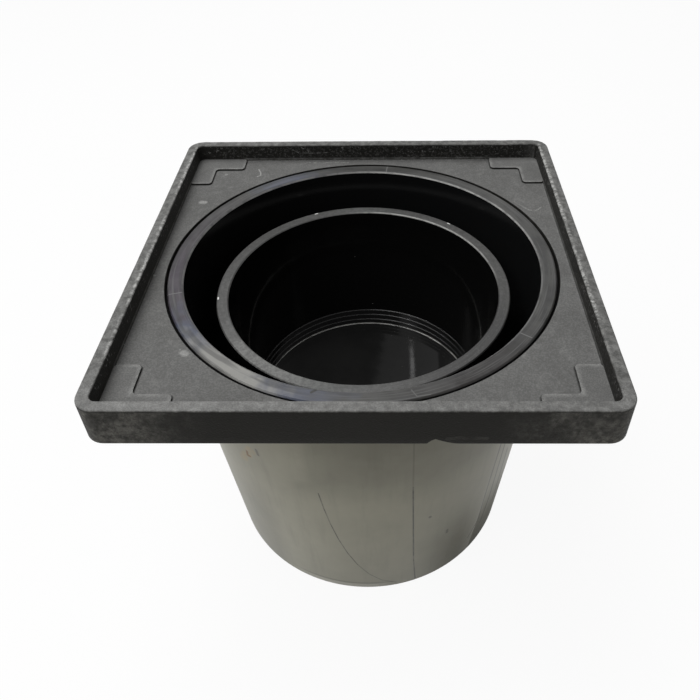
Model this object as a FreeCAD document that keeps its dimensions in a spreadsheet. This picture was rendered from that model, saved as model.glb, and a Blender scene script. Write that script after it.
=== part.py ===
import FreeCAD, Part

import os

import Sketcher

# Floor drain: a square frame, the tapered tub that carries it and a lift-out cup that stands in the tub.
# The origin is the middle of the tub's foot, +Z is up, and lengths are in millimetres.

SIZES = [
    # overall
    ("overall_height", 168.0, "foot of the tub to the top of the frame's rim"),
    # frame
    ("frame_side", 200.0, "outer side of the square frame"),
    ("frame_height", 18.0, "height of the frame's outer wall"),
    ("frame_corner", 8.0, "radius of the frame's upright outer corners"),
    ("rim_wall", 5.0, "thickness of the wall round the recess"),
    ("rim_bevel", 0.7, "bevel on the rim's top edges"),
    ("recess_depth", 9.6, "top of the rim to the recess floor"),
    ("recess_corner", 3.0, "radius of the recess's upright corners"),
    ("plate_thickness", 4.4, "plate under the recess floor"),
    ("ledge_width", 5.0, "recess floor left between the round opening and the rim, at the narrowest"),
    ("pad_arm", 26.5, "length of a corner pad's arms, from the recess corner"),
    ("pad_width", 11.0, "width of a corner pad's arms"),
    ("pad_height", 1.0, "height of the corner pads over the recess floor"),
    ("pad_bevel", 1.2, "bevel on the corner pads' upright edges"),
    ("web_thickness", 3.0, "thickness of the webs under the frame's corners"),
    ("web_clearance", 2.0, "gap between those webs and the tub's flange"),
    ("nick_start", 26.5, "start of the broken nick in the front wall's lower edge, from the middle"),
    ("nick_width", 11.0, "length of the nick along that edge"),
    ("nick_height", 2.6, "height of the nick"),
    ("nick_lead", 2.5, "from the start of the nick to its highest point"),
    # tub
    ("neck_clearance", 1.2, "gap between the frame's opening and the tub's neck"),
    ("neck_wall", 7.0, "width of the tub's top ring"),
    ("neck_bevel", 0.6, "bevel on the top ring's edges"),
    ("flange_clearance", 0.4, "gap between the tub's flange and the frame's outer wall"),
    ("flange_thickness", 4.0, "flange that carries the frame"),
    ("shoulder", 1.2, "how far the tub's wall under the flange stands out past the neck"),
    ("tub_taper", 14.0, "how much the tub's radius shrinks from flange to foot"),
    ("foot_wall", 5.0, "thickness of the tub's wall from its floor down"),
    ("foot_bevel", 1.2, "bevel on the foot's edges"),
    ("floor_thickness", 4.0, "tub floor"),
    ("floor_fall", 4.0, "fall of the tub floor towards the outlet"),
    ("socket_room", 16.0, "gap round the outlet for the pipe socket"),
    ("outlet_wall", 3.4, "wall of the outlet"),
    ("outlet_setback", 2.0, "how far the outlet's end stays above the foot"),
    ("outlet_lead", 1.5, "chamfer on the outlet's end"),
    ("rib_height", 12.0, "height of the ribs that carry the cup, over the floor at the tub's wall"),
    ("rib_thickness", 4.0, "thickness of those ribs"),
    ("rib_count", 6.0, "number of those ribs"),
    ("seat_lip", 4.0, "height of the stop at each rib's outer end, which keeps the cup in the middle"),
    ("seat_clearance", 0.9, "gap between those stops and the cup's base"),
    # cup
    ("cup_gap", 12.2, "gap between the tub's top ring and the cup's rim"),
    ("cup_drop", 15.1, "top ring of the tub to the rim of the cup"),
    ("cup_depth", 75.3, "rim of the cup to its floor"),
    ("cup_wall", 5.4, "wall of the cup"),
    ("cup_taper", 5.4, "how much the cup's radius shrinks from rim to base"),
    ("cup_base", 4.0, "floor of the cup"),
    ("cup_bevel", 0.7, "bevel on the cup's rim"),
    ("cup_foot_bevel", 2.5, "bevel on the cup's lower outer edge"),
    ("step_height", 3.2, "height of each fine step where the cup's wall meets its floor"),
    ("step_width", 0.5, "width of each fine step"),
]
STEP_COUNT = 3
DIAGONAL = 2 ** 0.5
TOUCH = 1e-4

doc = FreeCAD.newDocument("floor_drain")
sheet = doc.addObject("Spreadsheet::Sheet", "sizes")
for row, (alias, value, meaning) in enumerate(SIZES, start=1):
    sheet.set(f"A{row}", meaning)
    sheet.set(f"B{row}", str(value))
    sheet.setAlias(f"B{row}", alias)
doc.recompute()


class Length:
    """A length with the sheet expression that gives it."""

    def __init__(self, text, value):
        self.text = text
        self.value = value

    def __add__(self, other):
        return Length(f"({self.text} + {other.text})", self.value + other.value)

    def __sub__(self, other):
        return Length(f"({self.text} - {other.text})", self.value - other.value)

    def times(self, factor):
        return Length(f"({self.text} * {factor})", self.value * factor)

    def share(self, part, whole):
        """This length times the ratio of two others."""
        text = f"({self.text} * {part.text} / {whole.text})"
        return Length(text, self.value * part.value / whole.value)


def size(alias):
    return Length(f"sizes.{alias}", float(sheet.get(alias)))


ZERO = Length("0", 0.0)
FRAME_CORNERS = Length("4", 4)

# Heights above the foot, from the top down
rim_top = size("overall_height")
recess_floor = rim_top - size("recess_depth")
plate_underside = recess_floor - size("plate_thickness")
frame_bottom = rim_top - size("frame_height")
flange_bottom = plate_underside - size("flange_thickness")
cup_rim = recess_floor - size("cup_drop")
cup_floor = cup_rim - size("cup_depth")
cup_bottom = cup_floor - size("cup_base")
floor_edge = cup_bottom - size("rib_height")
floor_middle = floor_edge - size("floor_fall")

# Distances from the middle, from the outside in
half_side = size("frame_side").times(0.5)
recess_half = half_side - size("rim_wall")
opening_radius = recess_half - size("ledge_width")
neck_radius = opening_radius - size("neck_clearance")
neck_inside = neck_radius - size("neck_wall")
flange_radius = recess_half - size("flange_clearance")
tub_top_radius = neck_radius + size("shoulder")
foot_radius = tub_top_radius - size("tub_taper")
foot_inside = foot_radius - size("foot_wall")
outlet_radius = foot_inside - size("socket_room")
outlet_bore = outlet_radius - size("outlet_wall")
cup_radius = neck_inside - size("cup_gap")
cup_inside = cup_radius - size("cup_wall")
cup_base_radius = cup_radius - size("cup_taper")
cup_floor_radius = cup_inside - size("cup_taper") - size("step_width").times(STEP_COUNT)


def new_body(label):
    body = doc.addObject("PartDesign::Body", label)
    body.Label = label
    return body


def origin_feature(body, role):
    return next(feature for feature in body.Origin.OriginFeatures if feature.Role == role)


def new_sketch(body, name, plane, lift=ZERO, turn=0.0):
    """A sketch on one of the body's own planes, lifted along its normal and turned about it."""
    sketch = body.newObject("Sketcher::SketchObject", name)
    sketch.AttachmentSupport = [(origin_feature(body, plane), "")]
    sketch.MapMode = "FlatFace"
    upright = FreeCAD.Vector(0, 0, 1)
    sketch.AttachmentOffset = FreeCAD.Placement(upright * lift.value, FreeCAD.Rotation(upright, turn))
    sketch.setExpression(".AttachmentOffset.Base.z", lift.text)
    return sketch


def hold(sketch, kind, axis, point, distance):
    """Hold one coordinate of a point at a distance from the sketch's origin, or on its axis."""
    if distance is ZERO:
        sketch.addConstraint(Sketcher.Constraint("PointOnObject", *point, axis))
        return
    index = sketch.addConstraint(Sketcher.Constraint(kind, -1, 1, *point, distance.value))
    sketch.setExpression(f"Constraints[{index}]", distance.text)


def draw_outline(sketch, corners):
    """A closed outline of straight lines, with every corner held by its own two lengths."""
    spots = [FreeCAD.Vector(across.value, up.value, 0) for across, up in corners]
    count = len(corners)
    for line, spot in enumerate(spots):
        sketch.addGeometry(Part.LineSegment(spot, spots[(line + 1) % count]), False)
    for line in range(count):
        sketch.addConstraint(Sketcher.Constraint("Coincident", line, 2, (line + 1) % count, 1))
    for line, (across, up) in enumerate(corners):
        hold(sketch, "DistanceX", -2, (line, 1), across)
        hold(sketch, "DistanceY", -1, (line, 1), up)


def draw_square(sketch, half):
    low = half.times(-1)
    draw_outline(sketch, [(low, low), (half, low), (half, half), (low, half)])


def draw_circle(sketch, radius):
    middle = FreeCAD.Vector(0, 0, 0)
    upright = FreeCAD.Vector(0, 0, 1)
    sketch.addGeometry(Part.Circle(middle, upright, radius.value), False)
    sketch.addConstraint(Sketcher.Constraint("Coincident", 0, 3, -1, 1))
    index = sketch.addConstraint(Sketcher.Constraint("Radius", 0, radius.value))
    sketch.setExpression(f"Constraints[{index}]", radius.text)


def extrude(body, kind, name, sketch, depth, backwards=False, symmetric=False):
    """A pad or a pocket of a sketch, with its depth bound to the sheet."""
    feature = body.newObject(f"PartDesign::{kind}", name)
    feature.Profile = sketch
    feature.setExpression("Length", depth.text)
    feature.Reversed = backwards
    if symmetric:
        feature.SideType = "Symmetric"
    sketch.Visibility = False
    doc.recompute()
    body.Tip = feature
    return feature


def revolve(body, name, sketch):
    feature = body.newObject("PartDesign::Revolution", name)
    feature.Profile = sketch
    feature.ReferenceAxis = (sketch, ["V_Axis"])
    feature.Angle = 360
    sketch.Visibility = False
    doc.recompute()
    body.Tip = feature
    return feature


def pattern_round(body, name, original, count):
    """Copies of a feature, evenly spaced about the body's upright axis."""
    feature = body.newObject("PartDesign::PolarPattern", name)
    feature.Originals = [original]
    feature.Axis = (origin_feature(body, "Z_Axis"), [""])
    feature.Angle = 360
    feature.setExpression("Occurrences", count.text)
    body.Tip = feature
    doc.recompute()
    return feature


def dress_edges(body, kind, name, amount, wanted):
    """Round or bevel every edge of the body so far for which wanted(edge) is true."""
    base = body.Tip
    edges = [f"Edge{place}" for place, edge in enumerate(base.Shape.Edges, start=1) if wanted(edge)]
    if not edges:
        raise RuntimeError(f"{name}: no such edge")
    feature = body.newObject(f"PartDesign::{kind}", name)
    feature.Base = (base, edges)
    feature.setExpression("Radius" if kind == "Fillet" else "Size", amount.text)
    body.Tip = feature
    doc.recompute()


def near(one, other):
    return abs(one - other) < TOUCH


def at_height(edge, height):
    return all(near(vertex.Z, height.value) for vertex in edge.Vertexes)


def is_upright(edge):
    first, last = edge.Vertexes[0], edge.Vertexes[-1]
    return near(first.X, last.X) and near(first.Y, last.Y) and not near(first.Z, last.Z)


def bevel_rings(body, name, amount, ring_radii, height):
    """Bevel the circular edges that have one of these radii at this height."""

    def is_ring(edge):
        curve = edge.Curve
        if not isinstance(curve, Part.Circle) or not near(curve.Center.z, height.value):
            return False
        return any(near(curve.Radius, ring.value) for ring in ring_radii)

    dress_edges(body, "Chamfer", name, amount, is_ring)


def cut(body, name, sketch, depth):
    """A pocket along the sketch's normal that has to take something away."""
    before = body.Tip.Shape.Volume
    pocket = extrude(body, "Pocket", name, sketch, depth, backwards=True)
    if pocket.Shape.Volume > before - TOUCH:
        raise RuntimeError(f"{name} cut nothing")


def make_frame():
    """The square surround: rim, recess, round opening, corner pads, webs underneath and a broken nick."""
    body = new_body("frame")
    wall_height = size("frame_height")

    outline = new_sketch(body, "frame_outline", "XY_Plane", frame_bottom)
    draw_square(outline, half_side)
    extrude(body, "Pad", "frame_block", outline, wall_height)
    dress_edges(body, "Fillet", "frame_corners", size("frame_corner"), is_upright)

    recess = new_sketch(body, "recess_outline", "XY_Plane", recess_floor)
    draw_square(recess, recess_half)
    cut(body, "recess", recess, size("recess_depth"))

    underside = new_sketch(body, "underside_outline", "XY_Plane", frame_bottom)
    draw_square(underside, recess_half)
    cut(body, "underside", underside, plate_underside - frame_bottom)

    def is_inner_corner(edge):
        across, along = abs(edge.CenterOfMass.x), abs(edge.CenterOfMass.y)
        return is_upright(edge) and near(across, recess_half.value) and near(along, recess_half.value)

    dress_edges(body, "Fillet", "recess_corners", size("recess_corner"), is_inner_corner)

    opening = new_sketch(body, "opening_outline", "XY_Plane", frame_bottom)
    draw_circle(opening, opening_radius)
    cut(body, "opening", opening, wall_height)

    make_pads(body)
    make_webs(body)
    make_nick(body)

    def is_rim_edge(edge):
        return at_height(edge, rim_top)

    dress_edges(body, "Chamfer", "rim_edges", size("rim_bevel"), is_rim_edge)
    return body


def make_pads(body):
    """An L-shaped pad in each corner of the recess, for a grate to lie on."""
    arm_end = recess_half - size("pad_arm")
    arm_side = recess_half - size("pad_width")
    corners = [
        (recess_half, recess_half),
        (arm_end, recess_half),
        (arm_end, arm_side),
        (arm_side, arm_side),
        (arm_side, arm_end),
        (recess_half, arm_end),
    ]
    outline = new_sketch(body, "pad_outline", "XY_Plane", recess_floor)
    draw_outline(outline, corners)
    pad = extrude(body, "Pad", "corner_pad", outline, size("pad_height"))
    pattern_round(body, "corner_pads", pad, FRAME_CORNERS)

    def is_pad_corner(edge):
        off_wall = max(abs(edge.CenterOfMass.x), abs(edge.CenterOfMass.y)) < recess_half.value - TOUCH
        on_floor = near(min(vertex.Z for vertex in edge.Vertexes), recess_floor.value)
        return is_upright(edge) and off_wall and on_floor and near(edge.Length, size("pad_height").value)

    dress_edges(body, "Chamfer", "pad_corners", size("pad_bevel"), is_pad_corner)


def make_webs(body):
    """A stiffening web under each corner, from near the tub's flange out to the frame's wall."""
    start = flange_radius + size("web_clearance")
    end = recess_half.times(DIAGONAL)
    side = size("web_thickness").times(0.5)
    outline = new_sketch(body, "web_outline", "XY_Plane", frame_bottom, turn=45.0)
    draw_outline(outline, [(start, side.times(-1)), (end, side.times(-1)), (end, side), (start, side)])
    web = extrude(body, "Pad", "corner_web", outline, plate_underside - frame_bottom)
    pattern_round(body, "corner_webs", web, FRAME_CORNERS)


def make_nick(body):
    """The piece broken out of the front wall's lower edge."""
    start = size("nick_start")
    corners = [
        (start, frame_bottom),
        (start + size("nick_width"), frame_bottom),
        (start + size("nick_lead"), frame_bottom + size("nick_height")),
    ]
    outline = new_sketch(body, "nick_outline", "XZ_Plane", recess_half)
    draw_outline(outline, corners)
    cut(body, "nick", outline, size("rim_wall"))


def tub_outside(height):
    """Radius of the tub's tapered outside at a height."""
    return foot_radius + size("tub_taper").share(height, flange_bottom)


def make_tub():
    """The tapered tub: top ring, flange for the frame, raised floor with an outlet, ribs for the cup."""
    body = new_body("tub")
    floor_under = floor_edge - size("floor_thickness")
    floor_under_middle = floor_middle - size("floor_thickness")
    outlet_end = size("outlet_setback")
    outlet_lead = size("outlet_lead")
    profile = [
        (neck_inside, recess_floor),
        (neck_radius, recess_floor),
        (neck_radius, plate_underside),
        (flange_radius, plate_underside),
        (flange_radius, flange_bottom),
        (tub_top_radius, flange_bottom),
        (foot_radius, ZERO),
        (foot_inside, ZERO),
        (tub_outside(floor_under) - size("foot_wall"), floor_under),
        (outlet_radius, floor_under_middle),
        (outlet_radius, outlet_end + outlet_lead),
        (outlet_radius - outlet_lead, outlet_end),
        (outlet_bore, outlet_end),
        (outlet_bore, floor_middle),
        (tub_outside(floor_edge) - size("foot_wall"), floor_edge),
    ]
    section = new_sketch(body, "tub_section", "XZ_Plane")
    draw_outline(section, profile)
    revolve(body, "tub_shell", section)

    root = size("floor_thickness").times(0.5)
    rib_outside = tub_outside(floor_edge) - size("foot_wall").times(0.5)
    stop = cup_base_radius + size("seat_clearance")
    stop_top = cup_bottom + size("seat_lip")
    rib_profile = [
        (outlet_radius, cup_bottom),
        (outlet_radius, floor_middle - root),
        (rib_outside, floor_edge - root),
        (rib_outside, stop_top),
        (stop, stop_top),
        (stop, cup_bottom),
    ]
    rib_section = new_sketch(body, "rib_section", "XZ_Plane")
    draw_outline(rib_section, rib_profile)
    rib = extrude(body, "Pad", "cup_rib", rib_section, size("rib_thickness"), symmetric=True)
    pattern_round(body, "cup_ribs", rib, size("rib_count"))

    bevel_rings(body, "neck_edges", size("neck_bevel"), [neck_radius, neck_inside], recess_floor)
    bevel_rings(body, "foot_edges", size("foot_bevel"), [foot_radius, foot_inside], ZERO)
    return body


def make_cup():
    """The lift-out cup, with fine steps where its wall meets its floor."""
    body = new_body("cup")
    profile = [
        (ZERO, cup_bottom),
        (cup_base_radius, cup_bottom),
        (cup_radius, cup_rim),
        (cup_inside, cup_rim),
    ]
    for step in range(STEP_COUNT, 0, -1):
        foot = cup_floor + size("step_height").times(step)
        profile.append((cup_floor_radius + size("step_width").times(step), foot))
        profile.append((cup_floor_radius + size("step_width").times(step - 1), foot))
    profile.append((cup_floor_radius, cup_floor))
    profile.append((ZERO, cup_floor))
    section = new_sketch(body, "cup_section", "XZ_Plane")
    draw_outline(section, profile)
    revolve(body, "cup_shell", section)

    bevel_rings(body, "cup_rim_edges", size("cup_bevel"), [cup_radius, cup_inside], cup_rim)
    bevel_rings(body, "cup_foot_edge", size("cup_foot_bevel"), [cup_base_radius], cup_bottom)
    return body


bodies = [make_frame(), make_tub(), make_cup()]
doc.recompute()
for item in doc.Objects:
    if "Invalid" in item.State or "Error" in item.State:
        raise RuntimeError(f"{item.Label} failed: {item.State}")
for body in bodies:
    if body.Shape.isNull() or not body.Shape.isValid() or len(body.Shape.Solids) != 1:
        raise RuntimeError(f"{body.Label} is not one valid solid")

os.makedirs("parts", exist_ok=True)
for body in bodies:
    body.Shape.exportStep(f"parts/{body.Label}.step")
    print(f"{body.Label}: {body.Shape.Volume / 1000:.1f} cm3")
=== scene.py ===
# %% [markdown]
# # A floor drain, dressed
#
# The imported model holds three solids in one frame: a square frame with a recess for a grate, the tapered
# tub that carries it, and a cup that stands in the tub and lifts out. This lesson keeps their places and
# sizes. It gives each a smooth mesh with rounded edges and a finish of its own: dull, sand-grained
# plastic with scuffed edges for the frame, and smooth glossy plastic for the tub and the cup.

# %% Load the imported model
import math

import bmesh
import bpy
from mathutils import Matrix, Vector, noise
from mathutils.geometry import interpolate_bezier


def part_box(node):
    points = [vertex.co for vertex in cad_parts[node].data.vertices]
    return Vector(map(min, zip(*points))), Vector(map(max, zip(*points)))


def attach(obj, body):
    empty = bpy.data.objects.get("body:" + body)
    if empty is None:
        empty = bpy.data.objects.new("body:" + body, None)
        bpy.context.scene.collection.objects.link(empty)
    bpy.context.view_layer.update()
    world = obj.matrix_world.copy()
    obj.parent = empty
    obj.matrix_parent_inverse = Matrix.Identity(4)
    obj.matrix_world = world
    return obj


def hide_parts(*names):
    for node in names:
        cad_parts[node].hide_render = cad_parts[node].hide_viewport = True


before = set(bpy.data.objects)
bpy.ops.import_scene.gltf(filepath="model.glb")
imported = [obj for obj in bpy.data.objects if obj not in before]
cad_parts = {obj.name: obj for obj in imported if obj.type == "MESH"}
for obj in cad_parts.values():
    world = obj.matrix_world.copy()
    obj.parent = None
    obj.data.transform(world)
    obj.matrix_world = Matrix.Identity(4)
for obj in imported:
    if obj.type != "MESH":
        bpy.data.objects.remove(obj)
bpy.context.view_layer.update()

print("solids:", sorted(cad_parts))

# %% [markdown]
# ## Sizes
#
# Blender works in metres. What the solids' boxes can tell is read from them, so the meshes follow the
# model. The other sizes of the mouldings are written once, here, in millimetres.

# %% Sizes of the drain
MM = 0.001
frame_low, frame_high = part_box("frame")
tub_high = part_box("tub")[1]
cup_low, cup_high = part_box("cup")

HALF_SIDE = frame_high.x
RIM_TOP = frame_high.z
FRAME_BOTTOM = frame_low.z
RECESS_FLOOR = tub_high.z
FLANGE_RADIUS = tub_high.x
CUP_RADIUS = cup_high.x
CUP_RIM = cup_high.z
CUP_BOTTOM = cup_low.z

RIM_WALL = 5.0 * MM
FRAME_CORNER = 8.0 * MM
PLATE_UNDERSIDE = RECESS_FLOOR - 4.4 * MM
OPENING_RADIUS = HALF_SIDE - RIM_WALL - 5.0 * MM
NECK_RADIUS = OPENING_RADIUS - 1.2 * MM
NECK_INSIDE = NECK_RADIUS - 7.0 * MM
TUB_TOP_RADIUS = NECK_RADIUS + 1.2 * MM
FLANGE_BOTTOM = PLATE_UNDERSIDE - 4.0 * MM
FOOT_RADIUS = TUB_TOP_RADIUS - 14.0 * MM
FOOT_WALL = 5.0 * MM
CUP_WALL = 5.4 * MM
CUP_TAPER = 5.4 * MM
CUP_FLOOR = CUP_BOTTOM + 4.0 * MM
CUP_INSIDE = CUP_RADIUS - CUP_WALL
STEP_HEIGHT = 3.2 * MM
STEP_WIDTH = 0.5 * MM
STEP_COUNT = 3
CUP_FLOOR_RADIUS = CUP_INSIDE - CUP_TAPER - STEP_COUNT * STEP_WIDTH
RECESS_HALF = HALF_SIDE - RIM_WALL
PAD_ARM = 26.5 * MM
PAD_WIDTH = 11.0 * MM
PAD_HEIGHT = 1.0 * MM
PAD_ROUND = 2.0 * MM
print(f"frame {2000 * HALF_SIDE:.0f} mm square, drain {1000 * RIM_TOP:.0f} mm high")

# %% [markdown]
# ## Camera
#
# The camera stands in front of the drain and looks down at about forty degrees. Its place, lens and shift
# were fitted once to the frame's four corners and the rings, so the render lies over the photograph.

# %% Camera at the photograph's angle
CAMERA_PLACE = Vector((13.47, -261.33, 353.92)) * MM
CAMERA_DOWN, CAMERA_YAW, CAMERA_ROLL = 40.03, 1.25, -0.96
CAMERA_LENS = 36.075
CAMERA_SENSOR = 36.0
CAMERA_NEAREST = 10.0 * MM
CAMERA_SHIFT = (-0.04286, -0.07143)

camera_data = bpy.data.cameras.new("photo_camera")
camera_data.sensor_width = CAMERA_SENSOR
camera_data.lens = CAMERA_LENS
camera_data.shift_x, camera_data.shift_y = CAMERA_SHIFT
camera_data.clip_start = CAMERA_NEAREST
camera = bpy.data.objects.new("photo_camera", camera_data)
bpy.context.scene.collection.objects.link(camera)
yaw = Matrix.Rotation(math.radians(CAMERA_YAW), 4, "Z")
tilt = Matrix.Rotation(math.radians(90 - CAMERA_DOWN), 4, "X")
roll = Matrix.Rotation(math.radians(CAMERA_ROLL), 4, "Z")
camera.matrix_world = Matrix.Translation(CAMERA_PLACE) @ yaw @ tilt @ roll
bpy.context.scene.camera = camera
print("camera", round(CAMERA_PLACE.length * 1000), "mm from the foot's middle")

# %% [markdown]
# ## Helpers for node trees
#
# Materials and Geometry Nodes are both trees of nodes. A few small helpers keep the cells below short.
# They add a node and fill in its inputs, do arithmetic with numbers and vectors, ease a value between two
# limits, blend two colours, and start a node group with named sockets.

# %% Helpers that add nodes
MIX_SHARE, MIX_FIRST, MIX_SECOND, MIX_RESULT = 0, 6, 7, 2


def feed(tree, socket, value):
    """Set an input to a plain value, or link it to another node's output."""
    if isinstance(value, bpy.types.NodeSocket):
        tree.links.new(value, socket)
    else:
        socket.default_value = value


def place(tree, kind, settings=None, inputs=None):
    """A new node, with its settings and its inputs filled in."""
    made = tree.nodes.new(kind)
    for name, value in (settings or {}).items():
        setattr(made, name, value)
    for name, value in (inputs or {}).items():
        feed(tree, made.inputs[name], value)
    return made


def math_of(tree, operation, *values):
    """The result of a Math node."""
    made = place(tree, "ShaderNodeMath", {"operation": operation})
    for socket, value in zip(made.inputs, values):
        feed(tree, socket, value)
    return made.outputs[0]


def vector_of(tree, operation, first, second):
    """A Vector Math node between two vectors."""
    made = place(tree, "ShaderNodeVectorMath", {"operation": operation})
    feed(tree, made.inputs[0], first)
    feed(tree, made.inputs[1], second)
    return made


def scaled(tree, vector, factor):
    """A vector times a number."""
    inputs = {0: vector, "Scale": factor}
    return place(tree, "ShaderNodeVectorMath", {"operation": "SCALE"}, inputs).outputs[0]


def axes_of(tree, vector):
    """A vector's X, Y and Z."""
    return place(tree, "ShaderNodeSeparateXYZ", None, {0: vector}).outputs


def length_of(tree, across, deep):
    """The length of a flat vector, such as the radius at an X and a Y."""
    flat = place(tree, "ShaderNodeCombineXYZ", None, {"X": across, "Y": deep}).outputs[0]
    return place(tree, "ShaderNodeVectorMath", {"operation": "LENGTH"}, {0: flat}).outputs["Value"]


def ease(tree, value, low, high, start=0.0, end=1.0):
    """From start to end, smoothly, as the value goes from low to high."""
    settings = {"interpolation_type": "SMOOTHSTEP"}
    inputs = {"Value": value, "From Min": low, "From Max": high, "To Min": start, "To Max": end}
    return place(tree, "ShaderNodeMapRange", settings, inputs).outputs["Result"]


def blend_colour(tree, share, first, second):
    """A Mix node for colours. Its sockets go by number, because several share a name."""
    made = place(tree, "ShaderNodeMix", {"data_type": "RGBA"})
    for number, value in ((MIX_SHARE, share), (MIX_FIRST, first), (MIX_SECOND, second)):
        feed(tree, made.inputs[number], value)
    return made.outputs[MIX_RESULT]


def new_group(kind, name, inputs, outputs):
    """A node group, its inputs' sockets and its outputs' sockets. An input is (name, kind, value)."""
    tree = bpy.data.node_groups.new(name, kind)
    for label, socket_kind, value in inputs:
        socket = tree.interface.new_socket(name=label, in_out="INPUT", socket_type=socket_kind)
        if value is not None:
            socket.default_value = value
    for label, socket_kind in outputs:
        tree.interface.new_socket(name=label, in_out="OUTPUT", socket_type=socket_kind)
    given = tree.nodes.new("NodeGroupInput").outputs
    wanted = tree.nodes.new("NodeGroupOutput").inputs
    return tree, given, wanted


print("helpers ready")

# %% [markdown]
# ## Floor and light
#
# A plain pale floor runs out to a white surrounding. The camera, and what mirrors in glossy plastic, see
# them white through Light Path. The light on the drain comes from a large soft lamp above and behind it
# on the left, so level faces are bright and upright ones dark. A second lamp in front shows again in the
# cup's glossy floor, beside the streak of a small third one.

# %% Sky and floor
SKY_LIGHT = 0.16
SKY_WHITE = (1.0, 1.0, 1.0, 1.0)
FLOOR_SIZE = 6.0
FLOOR_DROP = 0.1 * MM
FLOOR_BOUNCE = (0.4, 0.375, 0.31, 1.0)
FLOOR_PALE = (0.9, 0.9, 0.9, 1.0)
FLOOR_GLOW = 0.93


def seen_directly(tree):
    """1 for camera, glossy and transmission rays, 0 for the rays that carry light to the drain."""
    path = place(tree, "ShaderNodeLightPath")
    seen = math_of(tree, "MAXIMUM", path.outputs["Is Camera Ray"], path.outputs["Is Glossy Ray"])
    return math_of(tree, "MAXIMUM", seen, path.outputs["Is Transmission Ray"])


def make_sky():
    """A surrounding that looks white and gives only a dim light."""
    world = bpy.data.worlds.new("studio_sky")
    world.use_nodes = True
    tree = world.node_tree
    tree.nodes.clear()
    level = ease(tree, seen_directly(tree), 0.0, 1.0, SKY_LIGHT, 1.0)
    sky = place(tree, "ShaderNodeBackground", None, {"Color": SKY_WHITE, "Strength": level})
    place(tree, "ShaderNodeOutputWorld", None, {"Surface": sky.outputs[0]})
    bpy.context.scene.world = world


def make_floor():
    """A floor that looks white and gives back a dim, warm light."""
    bpy.ops.mesh.primitive_plane_add(size=FLOOR_SIZE, location=(0, 0, -FLOOR_DROP))
    floor = bpy.context.object
    floor.name = "pale_floor"
    material = bpy.data.materials.new("pale_floor")
    material.use_nodes = True
    tree = material.node_tree
    tree.nodes.clear()
    bounce = place(tree, "ShaderNodeBsdfDiffuse", None, {"Color": FLOOR_BOUNCE})
    pale = place(tree, "ShaderNodeBsdfDiffuse", None, {"Color": FLOOR_PALE})
    glow = place(tree, "ShaderNodeEmission", None, {"Strength": 1.0})
    shown = place(tree, "ShaderNodeMixShader", None, {0: FLOOR_GLOW, 1: pale.outputs[0], 2: glow.outputs[0]})
    inputs = {0: seen_directly(tree), 1: bounce.outputs[0], 2: shown.outputs[0]}
    mixed = place(tree, "ShaderNodeMixShader", None, inputs)
    place(tree, "ShaderNodeOutputMaterial", None, {"Surface": mixed.outputs[0]})
    floor.data.materials.append(material)


make_sky()
make_floor()
print("sky and floor ready")

# %% Lamps
LAMP_DISTANCE = 1.5


def add_lamp(name, azimuth, elevation, wide, tall, glow, roll=0.0, shape="RECTANGLE"):
    """A soft lamp that looks at the drain. Its power follows its size, so glow is what a mirror shows."""
    lamp_data = bpy.data.lights.new(name, "AREA")
    lamp_data.shape = shape
    lamp_data.size = wide
    lamp_data.size_y = tall
    lamp_data.energy = glow * math.pi * wide * tall
    turn, rise = math.radians(azimuth), math.radians(elevation)
    away = Vector((math.cos(rise) * math.cos(turn), math.cos(rise) * math.sin(turn), math.sin(rise)))
    lamp = bpy.data.objects.new(name, lamp_data)
    lamp.location = Vector((0.0, 0.0, RIM_TOP)) + away * LAMP_DISTANCE
    aim = (-away).to_track_quat("-Z", "Y").to_matrix() @ Matrix.Rotation(math.radians(roll), 3, "Z")
    lamp.rotation_euler = aim.to_euler()
    bpy.context.scene.collection.objects.link(lamp)


add_lamp("soft_lamp", azimuth=126.0, elevation=70.0, wide=0.9, tall=0.9, glow=5.5)
add_lamp("front_lamp", azimuth=-145.5, elevation=60.4, wide=1.11, tall=1.03, glow=2.9, roll=-23.0)
add_lamp("slim_lamp", azimuth=-145.8, elevation=53.9, wide=0.1, tall=0.066, glow=26.0, shape="ELLIPSE")
print("lamps:", sorted(light.name for light in bpy.data.lights))

# %% [markdown]
# ## Shared surface effects
#
# Moulded plastic looks like plastic because of small faults, and the three finishes share them: a grain,
# a film of dust on level faces, scattered specks, marks that run round with the turning, single fine
# lines, and tones that change round a ring, which on the tub's ring are painted reflections. Each is a
# node group with its own inputs. It is built once and placed in the materials that need it, with other
# values.

# %% Grain, dust and specks
MASK_OUTPUT = [("Mask", "NodeSocketFloat")]
NOISE_MIDDLE = 0.5
GRIT_SHARE = 0.5
LEVEL_FACES = (0.3, 0.95)


def make_grain():
    """Height and tone of a fine moulded grain."""
    inputs = [("Vector", "NodeSocketVector", None), ("Grain Size", "NodeSocketFloat", 0.6 * MM)]
    outputs = [("Height", "NodeSocketFloat"), ("Tone", "NodeSocketFloat")]
    tree, given, wanted = new_group("ShaderNodeTree", "moulded_grain", inputs, outputs)
    pitch = math_of(tree, "DIVIDE", 1.0, given["Grain Size"])
    fine = {"Vector": given["Vector"], "Scale": pitch, "Detail": 3.0, "Roughness": 0.6}
    sand = place(tree, "ShaderNodeTexNoise", None, fine)
    grits = place(tree, "ShaderNodeTexVoronoi", None, {"Vector": given["Vector"], "Scale": pitch})
    pits = math_of(tree, "MULTIPLY", grits.outputs[0], GRIT_SHARE)
    height = math_of(tree, "SUBTRACT", sand.outputs[0], pits)
    tree.links.new(height, wanted["Height"])
    tree.links.new(ease(tree, sand.outputs[0], 0.35, 0.7), wanted["Tone"])
    return tree


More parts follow.
